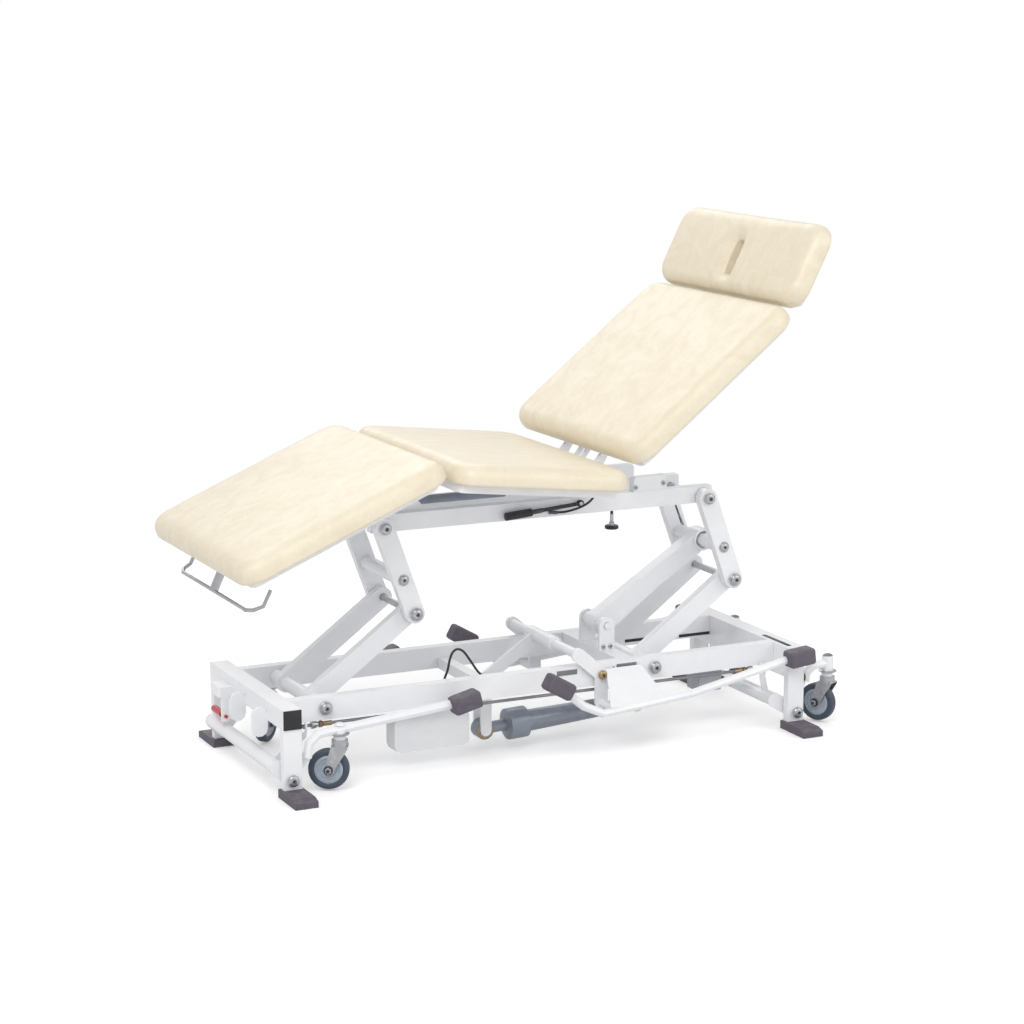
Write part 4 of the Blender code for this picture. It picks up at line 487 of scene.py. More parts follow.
def prism(radius: float, length: float, sides: int, edge: float) -> bmesh.types.BMesh:
    """Makes a bar of some sides from Z 0 up, such as a nut, with its rims rounded."""
    work = bmesh.new()
    bmesh.ops.create_cone(work, cap_ends=True, segments=sides, radius1=radius, radius2=radius, depth=length)
    bmesh.ops.translate(work, vec=(0, 0, length / 2), verts=work.verts)
    rims = [e for e in work.edges if abs(e.verts[0].co.z - e.verts[1].co.z) < SAME_PLACE]
    round_edges(work, rims, edge)
    return work


def aimed(origin: Vector, direction: Vector) -> Matrix:
    """Returns the place of a shape whose Z points along direction, from origin."""
    return Matrix.Translation(origin) @ direction.to_track_quat("Z", "Y").to_matrix().to_4x4()


def put_in_scene(name: str, data: bpy.types.ID) -> bpy.types.Object:
    """Makes an object of some data and links it to the scene."""
    made = bpy.data.objects.new(name, data)
    bpy.context.scene.collection.objects.link(made)
    return made


def joint_of(name: str) -> dict:
    """Returns a joint of the frame by its name."""
    return next(joint for joint in frame["joints"] if joint["name"] == name)


@dataclass
class Fitting:
    """A piece made of shapes that each have a finish, riding on one CAD body.

    Attributes:
        name: The piece's name.
        body: The CAD body that it rides on.
        slot: The record's slot for the piece; it is not used.
    """

    name: str
    body: str
    slot: Slot
    work: bmesh.types.BMesh = field(default_factory=bmesh.new)
    finishes: list[Finish] = field(default_factory=list)

    def add(self, shape: bmesh.types.BMesh, finish: Finish, where: Matrix | None = None) -> None:
        """Adds a shape at a place, and frees it.

        Args:
            shape: The shape.
            finish: Its finish.
            where: Its place, or None where it is in place already.
        """
        if finish not in self.finishes:
            self.finishes.append(finish)
        if where is not None:
            shape.transform(where)
        for face in shape.faces:
            face.material_index = self.finishes.index(finish)
        mesh = free_shape(shape)
        self.work.from_mesh(mesh)
        bpy.data.meshes.remove(mesh)

    def make(self, *replaced: str, sharp: float = 40.0) -> bpy.types.Object:
        """Makes the piece.

        Args:
            replaced: The CAD nodes that it stands for.
            sharp: The angle in degrees above which an edge is shaded sharp.

        Returns:
            The piece's object.
        """
        limit = math.radians(sharp)
        for face in self.work.faces:
            face.smooth = True
        for edge in self.work.edges:
            if len(edge.link_faces) == 2 and edge.calc_face_angle(0.0) > limit:
                edge.smooth = False
        mesh = free_shape(self.work)
        mesh.name = self.name
        for finish in self.finishes:
            mesh.materials.append(finish.material())
        piece = put_in_scene(self.name, mesh)
        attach(piece, self.body)
        if replaced:
            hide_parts(*replaced)
        LOG.info("%s rides on %s", self.name, self.body)
        return piece


# Padded sections


@dataclass
class PaddedSection:
    """A foam pad in marbled vinyl, in the place of its CAD node.

    Attributes:
        name: The piece's name.
        node: The CAD node that it stands for.
        body: The CAD body that it rides on.
        hinge: The hinge's X and Z on the drawing.
        angle: The section's tilt, in degrees.
        start: The pad's start along the section, from the hinge.
        length: The pad's length.
        depth: The height of its underside over the hinge.
        flip: True where the section points to the foot end.
        nose_slot: The slot's start and end along the pad, or None.
        corner, top_round, low_round: The radii in plan, along the top and along the underside.
        crown, crown_power: How far the top rises in its middle, and how late it falls off.
        pull_in: How far the sides pull in between the corners.
        rise_from: The share of the thickness above which the crown, ripple and dip act.
        ripple, ripple_density: The depth of the foam's unevenness, and how closely it is packed.
        slot_half, slot_funnel, slot_lip: The slot's half width, and its soft funnel's reach and depth.
        crease: The depth, half width and run-in of the crease beyond the slot.
        row_spacing, edge_steps, level_steps, slot_steps: Where the block is cut into rows.
    """

    name: str
    node: str
    body: str
    hinge: tuple[float, float]
    angle: float
    start: float
    length: float
    depth: float
    flip: bool = False
    nose_slot: tuple[float, float] | None = None
    half_width: float = 0.3500
    thick: float = 0.05
    corner: float = 0.058
    top_round: float = 0.032
    low_round: float = 0.008
    crown: float = 0.0065
    crown_power: float = 2.4
    pull_in: float = 0.0012
    rise_from: float = 0.4
    ripple: float = 0.0006
    ripple_density: float = 14.0
    slot_half: float = 0.0200
    slot_funnel: float = 0.036
    slot_lip: float = 0.015
    crease: tuple[float, float, float] = (0.0035, 0.014, 0.01)
    row_spacing: float = 0.03
    slot_steps: tuple[float, ...] = (0.0, 0.006, 0.013, 0.022, 0.032)
    edge_steps: tuple[float, ...] = (0.003, 0.007, 0.012, 0.018, 0.026, 0.036, 0.047, 0.058)
    level_steps: tuple[float, ...] = (0.004, 0.008, 0.012, 0.018, 0.024, 0.029, 0.034, 0.039, 0.043, 0.047)

    def frame(self) -> Matrix:
        """Returns the place of the section's own axes."""
        turn = Matrix.Rotation(-math.radians(self.angle), 4, "Y")
        facing = Matrix.Rotation(math.pi, 4, "Z") if self.flip else Matrix.Identity(4)
        return Matrix.Translation(place(self.hinge[0], 0, self.hinge[1])) @ turn @ facing

    def cuts(self, half: float) -> list[float]:
        """Returns where the pad is cut along one axis: closely at its edges and evenly between."""
        inner = half - self.edge_steps[-1]
        count = max(2, round(2 * inner / self.row_spacing))
        even = [-inner + 2 * inner * i / count for i in range(count + 1)]
        edges = [sign * (half - step) for step in self.edge_steps[:-1] for sign in (-1, 1)]
        return sorted(even + edges)

    def blank(self) -> bmesh.types.BMesh:
        """Makes the pad's block about its own centre, cut into rows, with the nose slot through it."""
        size = Vector((self.length, 2 * self.half_width, self.thick))
        work = slab(-size / 2, size / 2)
        planes = [((x, 0, 0), (1, 0, 0)) for x in self.cuts(self.length / 2)]
        planes += [((0, y, 0), (0, 1, 0)) for y in self.cuts(self.half_width)]
        if self.nose_slot:
            low, high = self.slot_ends()
            planes += [((end + sign * gap, 0, 0), (1, 0, 0))
                       for end, sign in ((low, -1), (high, 1)) for gap in self.slot_steps]
            planes += [((0, sign * (self.slot_half + gap), 0), (0, 1, 0))
                       for sign in (-1, 1) for gap in self.slot_steps]
        for point, normal in planes:
            self.bisect(work, point, normal)
        if self.nose_slot:
            self.open_slot(work)
        for level in self.level_steps:
            self.bisect(work, (0, 0, level - self.thick / 2), (0, 0, 1))
        return work

    @staticmethod
    def bisect(work: bmesh.types.BMesh, point: tuple[float, ...], normal: tuple[float, ...]) -> None:
        """Cuts every face that a plane crosses."""
        everything = list(work.verts) + list(work.edges) + list(work.faces)
        bmesh.ops.bisect_plane(work, geom=everything, dist=SAME_PLACE, plane_co=point, plane_no=normal)

    def slot_ends(self) -> tuple[float, float]:
        """Returns the nose slot's two ends about the pad's centre."""
        return self.nose_slot[0] - self.length / 2, self.nose_slot[1] - self.length / 2

    def open_slot(self, work: bmesh.types.BMesh) -> None:
        """Takes the slot's faces out of both sides and joins their rims."""
        low, high = self.slot_ends()
        inside = [f for f in work.faces if abs(f.normal.z) > ON_AXIS
                  and low < f.calc_center_median().x < high
                  and abs(f.calc_center_median().y) < self.slot_half]
        bmesh.ops.delete(work, geom=inside, context="FACES")
        bmesh.ops.bridge_loops(work, edges=[e for e in work.edges if e.is_boundary])

    def in_slot_rim(self, x: float, y: float) -> tuple[float, float]:
        """Moves a point of the slot's rim onto its round end."""
        low, high = self.slot_ends()
        half, reach = self.slot_half, SAME_PLACE * 10
        on_rim = low - reach <= x <= high + reach and abs(y) <= half + reach and (
            abs(x - low) < reach or abs(x - high) < reach or abs(abs(y) - half) < reach)
        if not on_rim:
            return x, y
        for centre, sign in ((low + half, -1), (high - half, 1)):
            if sign * (x - centre) > 0:
                off = Vector((x - centre, y)).normalized() * half
                return centre + off.x, off.y
        return x, y

    def slot_distance(self, x: float, y: float) -> float:
        """Returns how far a point is from the slot's rim."""
        low, high = self.slot_ends()
        half = self.slot_half
        nearest = min(max(x, low + half), high - half)
        return max(0.0, math.hypot(x - nearest, y) - half)

    def shaped(self, point: Vector) -> Vector:
        """Moves a point of the block to the crowned pad.

        Args:
            point: The point, about the block's centre.

        Returns:
            The point on the pad, from its underside up.
        """
        x, y = point.x, point.y
        z = point.z + self.thick / 2
        half_x, half_y = self.length / 2, self.half_width
        if self.nose_slot:
            x, y = self.in_slot_rim(x, y)
        over_x, over_y = abs(x) - (half_x - self.corner), abs(y) - (half_y - self.corner)
        if over_x > 0 and over_y > 0:
            share = max(over_x, over_y) / math.hypot(over_x, over_y)
            over_x, over_y = over_x * share, over_y * share
            x = math.copysign(half_x - self.corner + over_x, x)
            y = math.copysign(half_y - self.corner + over_y, y)
            reach = math.hypot(over_x, over_y)
            outwards = Vector((math.copysign(over_x, x), math.copysign(over_y, y))).normalized()
            inset = self.corner - reach
        elif over_x > over_y:
            outwards, inset = Vector((math.copysign(1, x), 0)), half_x - abs(x)
        else:
            outwards, inset = Vector((0, math.copysign(1, y))), half_y - abs(y)
        fall_x, fall_y = abs(x / half_x) ** self.crown_power, abs(y / half_y) ** self.crown_power
        lift = self.crown * max(0.0, 1 - fall_x) * max(0.0, 1 - fall_y)
        for radius, height, up in ((self.top_round, z - self.thick, 1), (self.low_round, -z, -1)):
            edge, rise = radius - inset, radius + height
            if edge > 0 and rise > 0:
                share = max(edge, rise) / math.hypot(edge, rise)
                move = edge * (1 - share)
                x, y = x - outwards.x * move, y - outwards.y * move
                z = self.thick - radius + rise * share if up > 0 else radius - rise * share
        waist = self.pull_in * math.sin(math.pi * min(1.0, z / self.thick))
        x -= math.copysign(waist * math.cos(math.pi * y / (2 * half_y)) * abs(x / half_x) ** 3, x)
        y -= math.copysign(waist * math.cos(math.pi * x / (2 * half_x)) * abs(y / half_y) ** 3, y)
        share_up = min(1.0, max(0.0, (z / self.thick - self.rise_from) / (1 - self.rise_from)))
        ripple = self.ripple * noise.noise(Vector((x, y, self.start)) * self.ripple_density)
        z += share_up * (lift + ripple)
        if self.nose_slot:
            z -= share_up * self.nose_dip(x, y)
        return Vector((x, y, z))

    def nose_dip(self, x: float, y: float) -> float:
        """Returns how far the face dips at the slot's rim and in the crease beyond it."""
        gap = self.slot_distance(x, y)
        funnel = self.slot_lip * max(0.0, 1 - gap / self.slot_funnel) ** 2
        beyond = max(0.0, x - self.slot_ends()[1])
        depth, half, run_in = self.crease
        return funnel + depth * math.exp(-(y / half) ** 2) * min(1.0, beyond / run_in)

    def build(self) -> bpy.types.Object:
        """Makes the pad and hides its CAD node."""
        work = self.blank()
        for vertex in work.verts:
            vertex.co = self.shaped(vertex.co)
        bmesh.ops.remove_doubles(work, verts=work.verts, dist=SAME_PLACE)
        bmesh.ops.recalc_face_normals(work, faces=work.faces)
        move = Matrix.Translation((self.start + self.length / 2, 0, self.depth))
        pad = Fitting(self.name, self.body, Slot.VINYL)
        pad.add(work, CREAM_VINYL, self.frame() @ move)
        piece = pad.make(self.node, sharp=180.0)
        smooth = piece.modifiers.new("smooth", "SUBSURF")
        smooth.levels = smooth.render_levels = 1
        return piece


PADS = (
    PaddedSection("leg_cushion", "leg_pad", "leg", (0.3715, 0.703), 22.85, -0.058, 0.566, 0.0366, flip=True),
    PaddedSection("seat_cushion", "seat_pad", "seat", (0.3715, 0.703), -6.45, 0.051, 0.470, 0.0416),
    PaddedSection("back_cushion", "back_pad", "back", (0.915, 0.708), 38.5, 0.0220, 0.5590, 0.0290),
    PaddedSection("head_cushion", "head_pad", "head", (1.370, 1.0726), 63.05, 0.026, 0.223, 0.0230,
                  nose_slot=(0.044, 0.150)),
)


# Castors


NUT = (0.0085, 0.0065, 6, 0.0008)
NUT_LIFT = 0.0010
FORK_HALF = 0.0195
AXLE_WASHER: Profile = [(0, 0), (0.0115, 0), (0.0115, 0.001), (0.0105, 0.0015), (0, 0.0015)]
AXLE_END: Profile = [(0, 0.006), (0.0045, 0.006), (0.0045, 0.0095), (0.004, 0.0102), (0, 0.0102)]
# Each ring of the hub by its radius and how far its face stands over the tyre's half width
HUB_RINGS: Profile = [
    (0.0, 0.0015), (0.0115, 0.0015), (0.0125, 0.0005), (0.0125, -0.001), (0.0165, -0.003), (0.0185, -0.003),
    (0.0195, -0.0015), (0.0215, -0.0015), (0.0225, -0.0035), (0.0265, -0.0035), (0.0275, -0.001),
    (0.0300, -0.0005), (0.0315, -0.002), (0.0346, -0.0025)]
RACE: Profile = [(0, -0.004), (0.0225, -0.004), (0.0240, -0.0025), (0.0240, -0.001), (0.0225, 0.0), (0, 0.0)]


@dataclass
class CastorWheel:
    """A blue tyre on a ringed hub, with the bolt through its fork.

    Attributes:
        label: The castor's end and side.
        radius: The tyre's radius.
        half_width: Half of the tyre's width.
        tread_round: The radius of the tread's shoulders.
        hub_radius: Where the tyre meets the hub.
        shoulder: The angles of the points on a shoulder.
        steps: The number of sides.
    """

    label: str
    radius: float = 0.050
    half_width: float = 0.0125
    tread_round: float = 0.007
    hub_radius: float = 0.034
    shoulder: tuple[float, ...] = (0.35, 0.7, 1.05, 1.3)
    steps: int = 56

    def pose(self) -> tuple[Vector, Vector]:
        """Returns the wheel's middle and axle from its joint."""
        joint = joint_of(f"wheel_{self.label}_roll")
        return Vector(joint["pos_m"]), Vector(joint["axis"]).normalized()

    def tyre(self) -> bmesh.types.BMesh:
        """Turns the tyre, with round shoulders and a shallow wall beside the hub."""
        half, soft, hub = self.half_width, self.tread_round, self.hub_radius
        rim = self.radius
        low = [(hub, -half + 0.003), (hub + 0.004, -half), (rim - soft - 0.002, -half)]
        shoulder = [(rim - soft + soft * math.sin(t), -half + soft - soft * math.cos(t))
                    for t in self.shoulder]
        lower = low + shoulder + [(rim, -half + soft + 0.001)]
        upper = [(r, -z) for r, z in reversed(lower)]
        return turned(lower + upper + [lower[0]], self.steps)

    def hub(self) -> bmesh.types.BMesh:
        """Turns the hub with its concentric rings."""
        one_side = [(radius, self.half_width + lift) for radius, lift in HUB_RINGS]
        return turned(one_side + [(r, -z) for r, z in reversed(one_side)], self.steps)

    def build(self) -> None:
        """Makes the wheel, which turns, and the axle's bolt, which stays with the fork."""
        middle, axle = self.pose()
        where = aimed(middle, axle)
        wheel = Fitting(f"wheel_{self.label}", f"wheel_{self.label}", Slot.TYRE)
        wheel.add(self.tyre(), TYRE, where)
        wheel.add(self.hub(), HUB, where)
        wheel.make(f"castor_wheel_{self.label}")
        bolt = Fitting(f"castor_bolt_{self.label}", f"swivel_{self.label}", Slot.ZINC)
        reach = max(abs((corner - middle).dot(axle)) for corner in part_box(f"castor_fork_{self.label}"))
        straight = abs(axle.y) > ON_AXIS or abs(axle.x) > ON_AXIS
        outer = min(reach, FORK_HALF) if straight else FORK_HALF
        for way in (-1, 1):
            face = aimed(middle + axle * way * outer, axle * way)
            bolt.add(turned(AXLE_WASHER, 24), DARK_STEEL, face)
            bolt.add(prism(*NUT), ZINC, face @ Matrix.Translation((0, 0, NUT_LIFT)))
            bolt.add(turned(AXLE_END, 20), DARK_STEEL, face)
        bolt.make()


class Castors:
    """The four wheels, with the bearing rings over their forks."""

    labels = ("foot_near", "foot_far", "head_near", "head_far")

    def bearing(self, label: str) -> None:
        """Adds the ball race between a fork's crown and the castor bar."""
        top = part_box(f"castor_fork_{label}")[1].z
        centre = Vector((*joint_of(f"swivel_{label}_turn")["pos_m"][:2], top))
        race = Fitting(f"castor_race_{label}", f"swivel_{label}", Slot.ZINC)
        race.add(turned(RACE, 32), ZINC, Matrix.Translation(centre))
        race.make()

    def build(self) -> None:
        """Makes all four."""
        for label in self.labels:
            CastorWheel(label).build()
            self.bearing(label)


# Fasteners

SINK = 0.0012
WASHER_RADIUS = 0.0165
WASHER_THICK = 0.0016
OUTSIDE_Y = 0.5


@dataclass(frozen=True)
class ButtonHead:
    """A domed socket screw, proud of a face.

    Attributes:
        radius: The head's radius.
        height: The head's height.
        socket: The socket's radius.
        finish: The head's finish.
    """

    radius: float = 0.0115
    height: float = 0.0055
    socket: float = 0.0042
    finish: Finish = ZINC

    def into(self, piece: Fitting, origin: Vector, outwards: Vector) -> None:
        """Adds the screw to a piece, seated at origin."""
        r, h, s = self.radius, self.height, self.socket
        where = aimed(origin, outwards)
        dome = [(0, h * 0.35), (s, h * 0.35), (s, h), (r * 0.62, h * 0.97), (r * 0.85, h * 0.75),
                (r * 0.97, h * 0.4), (r, h * 0.15), (r, -SINK), (0, -SINK)]
        # A dark six-sided disc near the socket's bottom is painted shade in the recess.
        floor = [(0, h * 0.45), (s * 0.92, h * 0.45), (s * 0.92, h * 0.3), (0, h * 0.3)]
        piece.add(turned(dome, 28), self.finish, where)
        piece.add(turned(floor, 6), DARK_STEEL, where)


@dataclass(frozen=True)
class SideBolts:
    """A screw and washer at the same place on both sides of the table.

    Attributes:
        name: The piece's name.
        body: The CAD body that it rides on.
        x: Its X on the drawing.
        z: Its height.
        y: The face that it sits on, from the middle.
        head: The screw.
        washer: The washer's radius, or zero.
    """

    name: str
    body: str
    x: float
    z: float
    y: float
    head: ButtonHead = ButtonHead()
    washer: float = WASHER_RADIUS

    def build(self) -> None:
        """Makes both screws as one piece."""
        piece = Fitting(self.name, self.body, Slot.ZINC)
        for side in BOTH_SIDES:
            out = Vector((0, side.value, 0))
            seat = place(self.x, side.value * self.y, self.z)
            if self.washer:
                rim = self.washer
                ring = [(0, -SINK), (rim, -SINK), (rim, WASHER_THICK * 0.6), (rim * 0.96, WASHER_THICK),
                        (0, WASHER_THICK)]
                piece.add(turned(ring, 32), self.head.finish, aimed(seat, out))
                seat = seat + out * WASHER_THICK
            self.head.into(piece, seat, out)
        piece.make()


BIG_HEAD = ButtonHead(0.0145, 0.0065, 0.0052)
BRASS_HEAD = ButtonHead(0.0120, 0.0050, 0.0042, BRASS)
SMALL_HEAD = ButtonHead(0.0065, 0.0032, 0.0024)
SIDE_BOLTS = (
    SideBolts("foot_rail_bolts", "base", 0.1404, 0.1917, 0.1890, BIG_HEAD),
    SideBolts("head_rail_bolts", "base", 1.0444, 0.1917, 0.1890, BIG_HEAD),
    SideBolts("rocker_bolts", "base", 0.8860, 0.1930, 0.2020, BRASS_HEAD, 0.0),
    SideBolts("foot_post_bolts", "base", 0.0250, 0.0455, 0.2650, BIG_HEAD, 0.0),
    SideBolts("head_post_bolts", "base", 1.4267, 0.0455, 0.2650, BIG_HEAD, 0.0),
    SideBolts("foot_low_bolts", "foot_arms", 0.4034, 0.3856, 0.1360, BIG_HEAD),
    SideBolts("head_low_bolts", "head_arms", 1.3074, 0.3856, 0.1360, BIG_HEAD),
    SideBolts("foot_mid_bolts", "foot_links", 0.3714, 0.4739, 0.1296, ButtonHead(), 0.0145),
    SideBolts("head_mid_bolts", "head_links", 1.2754, 0.4739, 0.1296, ButtonHead(), 0.0145),
    SideBolts("foot_top_bolts", "upper_frame", 0.3235, 0.6064, 0.1360, BIG_HEAD, 0.0),
    SideBolts("head_top_bolts", "upper_frame", 1.2275, 0.6064, 0.1360, BIG_HEAD, 0.0),
)


def reach_node(node: str, start: Vector, direction: Vector) -> Vector:
    """Finds where a ray meets a CAD node, so that a fitting sits on real material.

    Args:
        node: The CAD node's name.
        start: Where the ray starts.
        direction: Where it goes.

    Returns:
        The point that it meets first.
    """
    mesh = frame["nodes"][node].data
    tree = BVHTree.FromPolygons([v.co for v in mesh.vertices], [p.vertices for p in mesh.polygons])
    point = tree.ray_cast(start, direction)[0]
    if point is None:
        raise ValueError(f"nothing of {node} lies before {tuple(start)}")
    return point


def crate(first: Vector, second: Vector, edge: float = 0.0) -> bmesh.types.BMesh:
    """Makes a block between any two opposite corners."""
    return slab(Vector(map(min, first, second)), Vector(map(max, first, second)), edge)


@dataclass(frozen=True)
class Stud:
    """A screw on whatever a ray along Y meets.

    Attributes:
        x: Its X on the drawing.
        z: Its height.
        side: The side that it is seen from.
    """

    x: float
    z: float
    side: Side


@dataclass(frozen=True)
class StudRow:
    """Small screws on one CAD node.

    Attributes:
        name: The piece's name.
        node: The CAD node.
        body: The CAD body.
        studs: The screws.
    """

    name: str
    node: str
    body: str
    studs: tuple[Stud, ...]

    def build(self) -> None:
        """Makes the row as one piece."""
        piece = Fitting(self.name, self.body, Slot.ZINC)
        for stud in self.studs:
            out = Vector((0, stud.side.value, 0))
            start = place(stud.x, stud.side.value * OUTSIDE_Y, stud.z)
            SMALL_HEAD.into(piece, reach_node(self.node, start, -out), out)
        piece.make()


STUD_ROWS = (
    StudRow("bracket_screws", "upper_frame", "upper_frame",
            tuple(Stud(x, z, side) for side in BOTH_SIDES for x, z in ((1.110, 0.652), (1.030, 0.646)))),
    StudRow("stand_screws", "middle_arm_stand", "base",
            tuple(Stud(x, 0.226, side) for side in BOTH_SIDES for x in (0.962, 0.982))),
)

# Trim

RIVET: Profile = [(0, 0.0012), (0.0012, 0.001), (0.002, 0.0), (0.002, -0.0003), (0, -0.0003)]


class BaseTrim:
    """The beams' caps and strip, the bare label plates, and black plates of painted shade in each cable slot of
    the far rail.
    """

    cap_x = (0.0035, 0.0495)
    cap_y = (0.2586, 0.2622)
    cap_z = (0.1705, 0.2180)
    cap_edge = 0.0012
    strip = ((1.4100, -0.2350, 0.2184), (1.4210, -0.1050, 0.2202))
    strip_edge = 0.0004
    plates = ((0.935, 0.992, 0.1985, 0.2115), (0.765, 0.822, 0.1985, 0.2115))
    # Black plates of painted shade in each cable slot of the far rail, as X and Z boxes.
    slot_shades = ((1.138, 1.217, 0.1705, 0.1785), (1.304, 1.410, 0.1665, 0.1745))
    plate_thick, plate_sink, plate_edge = 0.0010, 0.0003, 0.0003
    rivet_off = 0.009
    far_start_y = 0.06

    def caps(self) -> None:
        """Closes both ends of the foot beam and lays the dark strip on the head beam."""
        piece = Fitting("beam_caps", "base", Slot.BLACK)
        for side in BOTH_SIDES:
            low = place(self.cap_x[0], side.value * self.cap_y[0], self.cap_z[0])
            high = place(self.cap_x[1], side.value * self.cap_y[1], self.cap_z[1])
            piece.add(crate(low, high, self.cap_edge), BLACK_PLASTIC)
        low, high = self.strip
        piece.add(crate(place(*low), place(*high), self.strip_edge), BLACK_PLASTIC)
        piece.make()

    def thin_plate(self, piece: Fitting, rail: str, start_y: float, box: tuple[float, ...],
                   finish: Finish) -> Vector:
        """Lays a thin plate on a rail's face that looks to the near side.

        Args:
            piece: The piece that gets the plate.
            rail: The rail's CAD node.
            start_y: Where the search for its face starts.
            box: The plate's lowest and highest X on the drawing, and its lowest and highest Z.
            finish: The plate's finish.

        Returns:
            The place under the plate's middle.
        """
        x0, x1, z0, z1 = box
        seat = reach_node(rail, place((x0 + x1) / 2, start_y, (z0 + z1) / 2), Vector((0, 1, 0)))
        low = Vector((x0 - MIDDLE_X, seat.y + self.plate_sink, z0))
        high = Vector((x1 - MIDDLE_X, seat.y - self.plate_thick, z1))
        piece.add(crate(low, high, self.plate_edge), finish)
        return seat

    def plaques(self) -> None:
        """Adds the two bare plates with a rivet beside each, on the near rail."""
        piece = Fitting("rail_plates", "base", Slot.GREY)
        for box in self.plates:
            seat = self.thin_plate(piece, "rail_near", -OUTSIDE_Y, box, LABEL_GREY)
            rivet = Vector((box[0] - MIDDLE_X - self.rivet_off, seat.y, (box[2] + box[3]) / 2))
            piece.add(turned(RIVET, 16), DARK_STEEL, aimed(rivet, Vector((0, -1, 0))))
        piece.make()

    def far_slot_shades(self) -> None:
        """Lays black plates on the far rail's inner face, painted shade in each cable slot."""
        piece = Fitting("rail_slot_shades", "base", Slot.BLACK)
        for box in self.slot_shades:
            self.thin_plate(piece, "rail_far", self.far_start_y, box, BLACK_PLASTIC)
        piece.make()

    def build(self) -> None:
        """Makes all three."""
        self.caps()
        self.plaques()
        self.far_slot_shades()


BUMPER: Profile = [(0, -0.004), (0.0125, -0.004), (0.0130, 0.004), (0.0115, 0.009), (0.0070, 0.012),
                   (0, 0.013)]
BOSS_CAP: Profile = [(0, 0.0055), (0.004, 0.0054), (0.009, 0.0040), (0.0125, 0.0015), (0.0132, -0.001),
                     (0, -0.001)]


class CastorLinkage:
    """The connecting rod's cones, locknuts and sleeves, the bumpers and the bosses' caps."""

    rod_y, rod_z, rod_r = -0.1775, 0.152, 0.004
    rod_starts = ((0.104, 1), (1.338, -1))
    locknut = (0.0088, 0.0085, 6, 0.0008)
    nut_off, sleeve_off = 0.021, 0.011
    bumper_place, bumper_lean = (1.4515, 0.2400, 0.132), (-1, 0, 0.15)
    above_bosses = 0.4

    def rod_ends(self) -> None:
        """Dresses both ends of the rod with a locknut, a cone and a brass sleeve."""
        piece = Fitting("castor_rod_ends", "castor_rod", Slot.ZINC)
        along = Vector((1, 0, 0))
        r = self.rod_r
        cone = [(r, 0), (0.0095, 0.001), (0.0100, 0.006), (0.0065, 0.018), (r, 0.019), (r - SINK, 0.019),
                (r - SINK, 0), (r, 0)]
        sleeve = [(r - SINK, 0), (0.0060, 0), (0.0060, 0.022), (r - SINK, 0.022), (r - SINK, 0)]
        for x, way in self.rod_starts:
            start = place(x, self.rod_y, self.rod_z)
            piece.add(turned(cone, 24), ZINC, aimed(start, along * way))
            nut = aimed(start + along * way * self.nut_off, along * way)
            piece.add(prism(*self.locknut), BRASS, nut)
            piece.add(turned(sleeve, 20), BRASS, nut @ Matrix.Translation((0, 0, self.sleeve_off)))
        piece.make()

    def bumpers(self) -> None:
        """Adds the black rubber buffer on each of the head castor bar's tubes."""
        piece = Fitting("castor_bumpers", "head_castor_bar", Slot.BLACK)
        for side in BOTH_SIDES:
            x, y, z = self.bumper_place
            where = aimed(place(x, side.value * y, z), Vector(self.bumper_lean))
            piece.add(turned(BUMPER, 28), BLACK_PLASTIC, where)
        piece.make()

    def boss_caps(self) -> None:
        """Caps the tops of the four castor bosses."""
        for end in ("foot", "head"):
            piece = Fitting(f"{end}_boss_caps", f"{end}_castor_bar", Slot.GREY)
            finish = LABEL_GREY if end == "head" else POWDER_COAT
            for side in ("near", "far"):
                above = Vector((*joint_of(f"swivel_{end}_{side}_turn")["pos_m"][:2], self.above_bosses))
                top = reach_node(f"{end}_castor_bar", above, Vector((0, 0, -1)))
                piece.add(turned(BOSS_CAP, 28), finish, Matrix.Translation(top))
            piece.make()

    def build(self) -> None:
        """Makes all the linkage's fittings."""
        self.rod_ends()
        self.bumpers()
        self.boss_caps()


EYE_RING: Profile = [(0.0120, 0.0010), (0.0120, -SINK), (0.0220, -SINK), (0.0220, 0.0010), (0.0200, 0.0024),
                     (0.0140, 0.0024), (0.0120, 0.0010)]
EYE_DISC: Profile = [(0, 0.001), (0.0122, 0.001), (0.0122, -SINK), (0, -SINK)]
GLAND: Profile = [(0, 0), (0.0115, 0), (0.0115, 0.003), (0.0095, 0.004), (0.0095, 0.011), (0.0065, 0.016),
                  (0.0045, 0.022), (0, 0.022)]


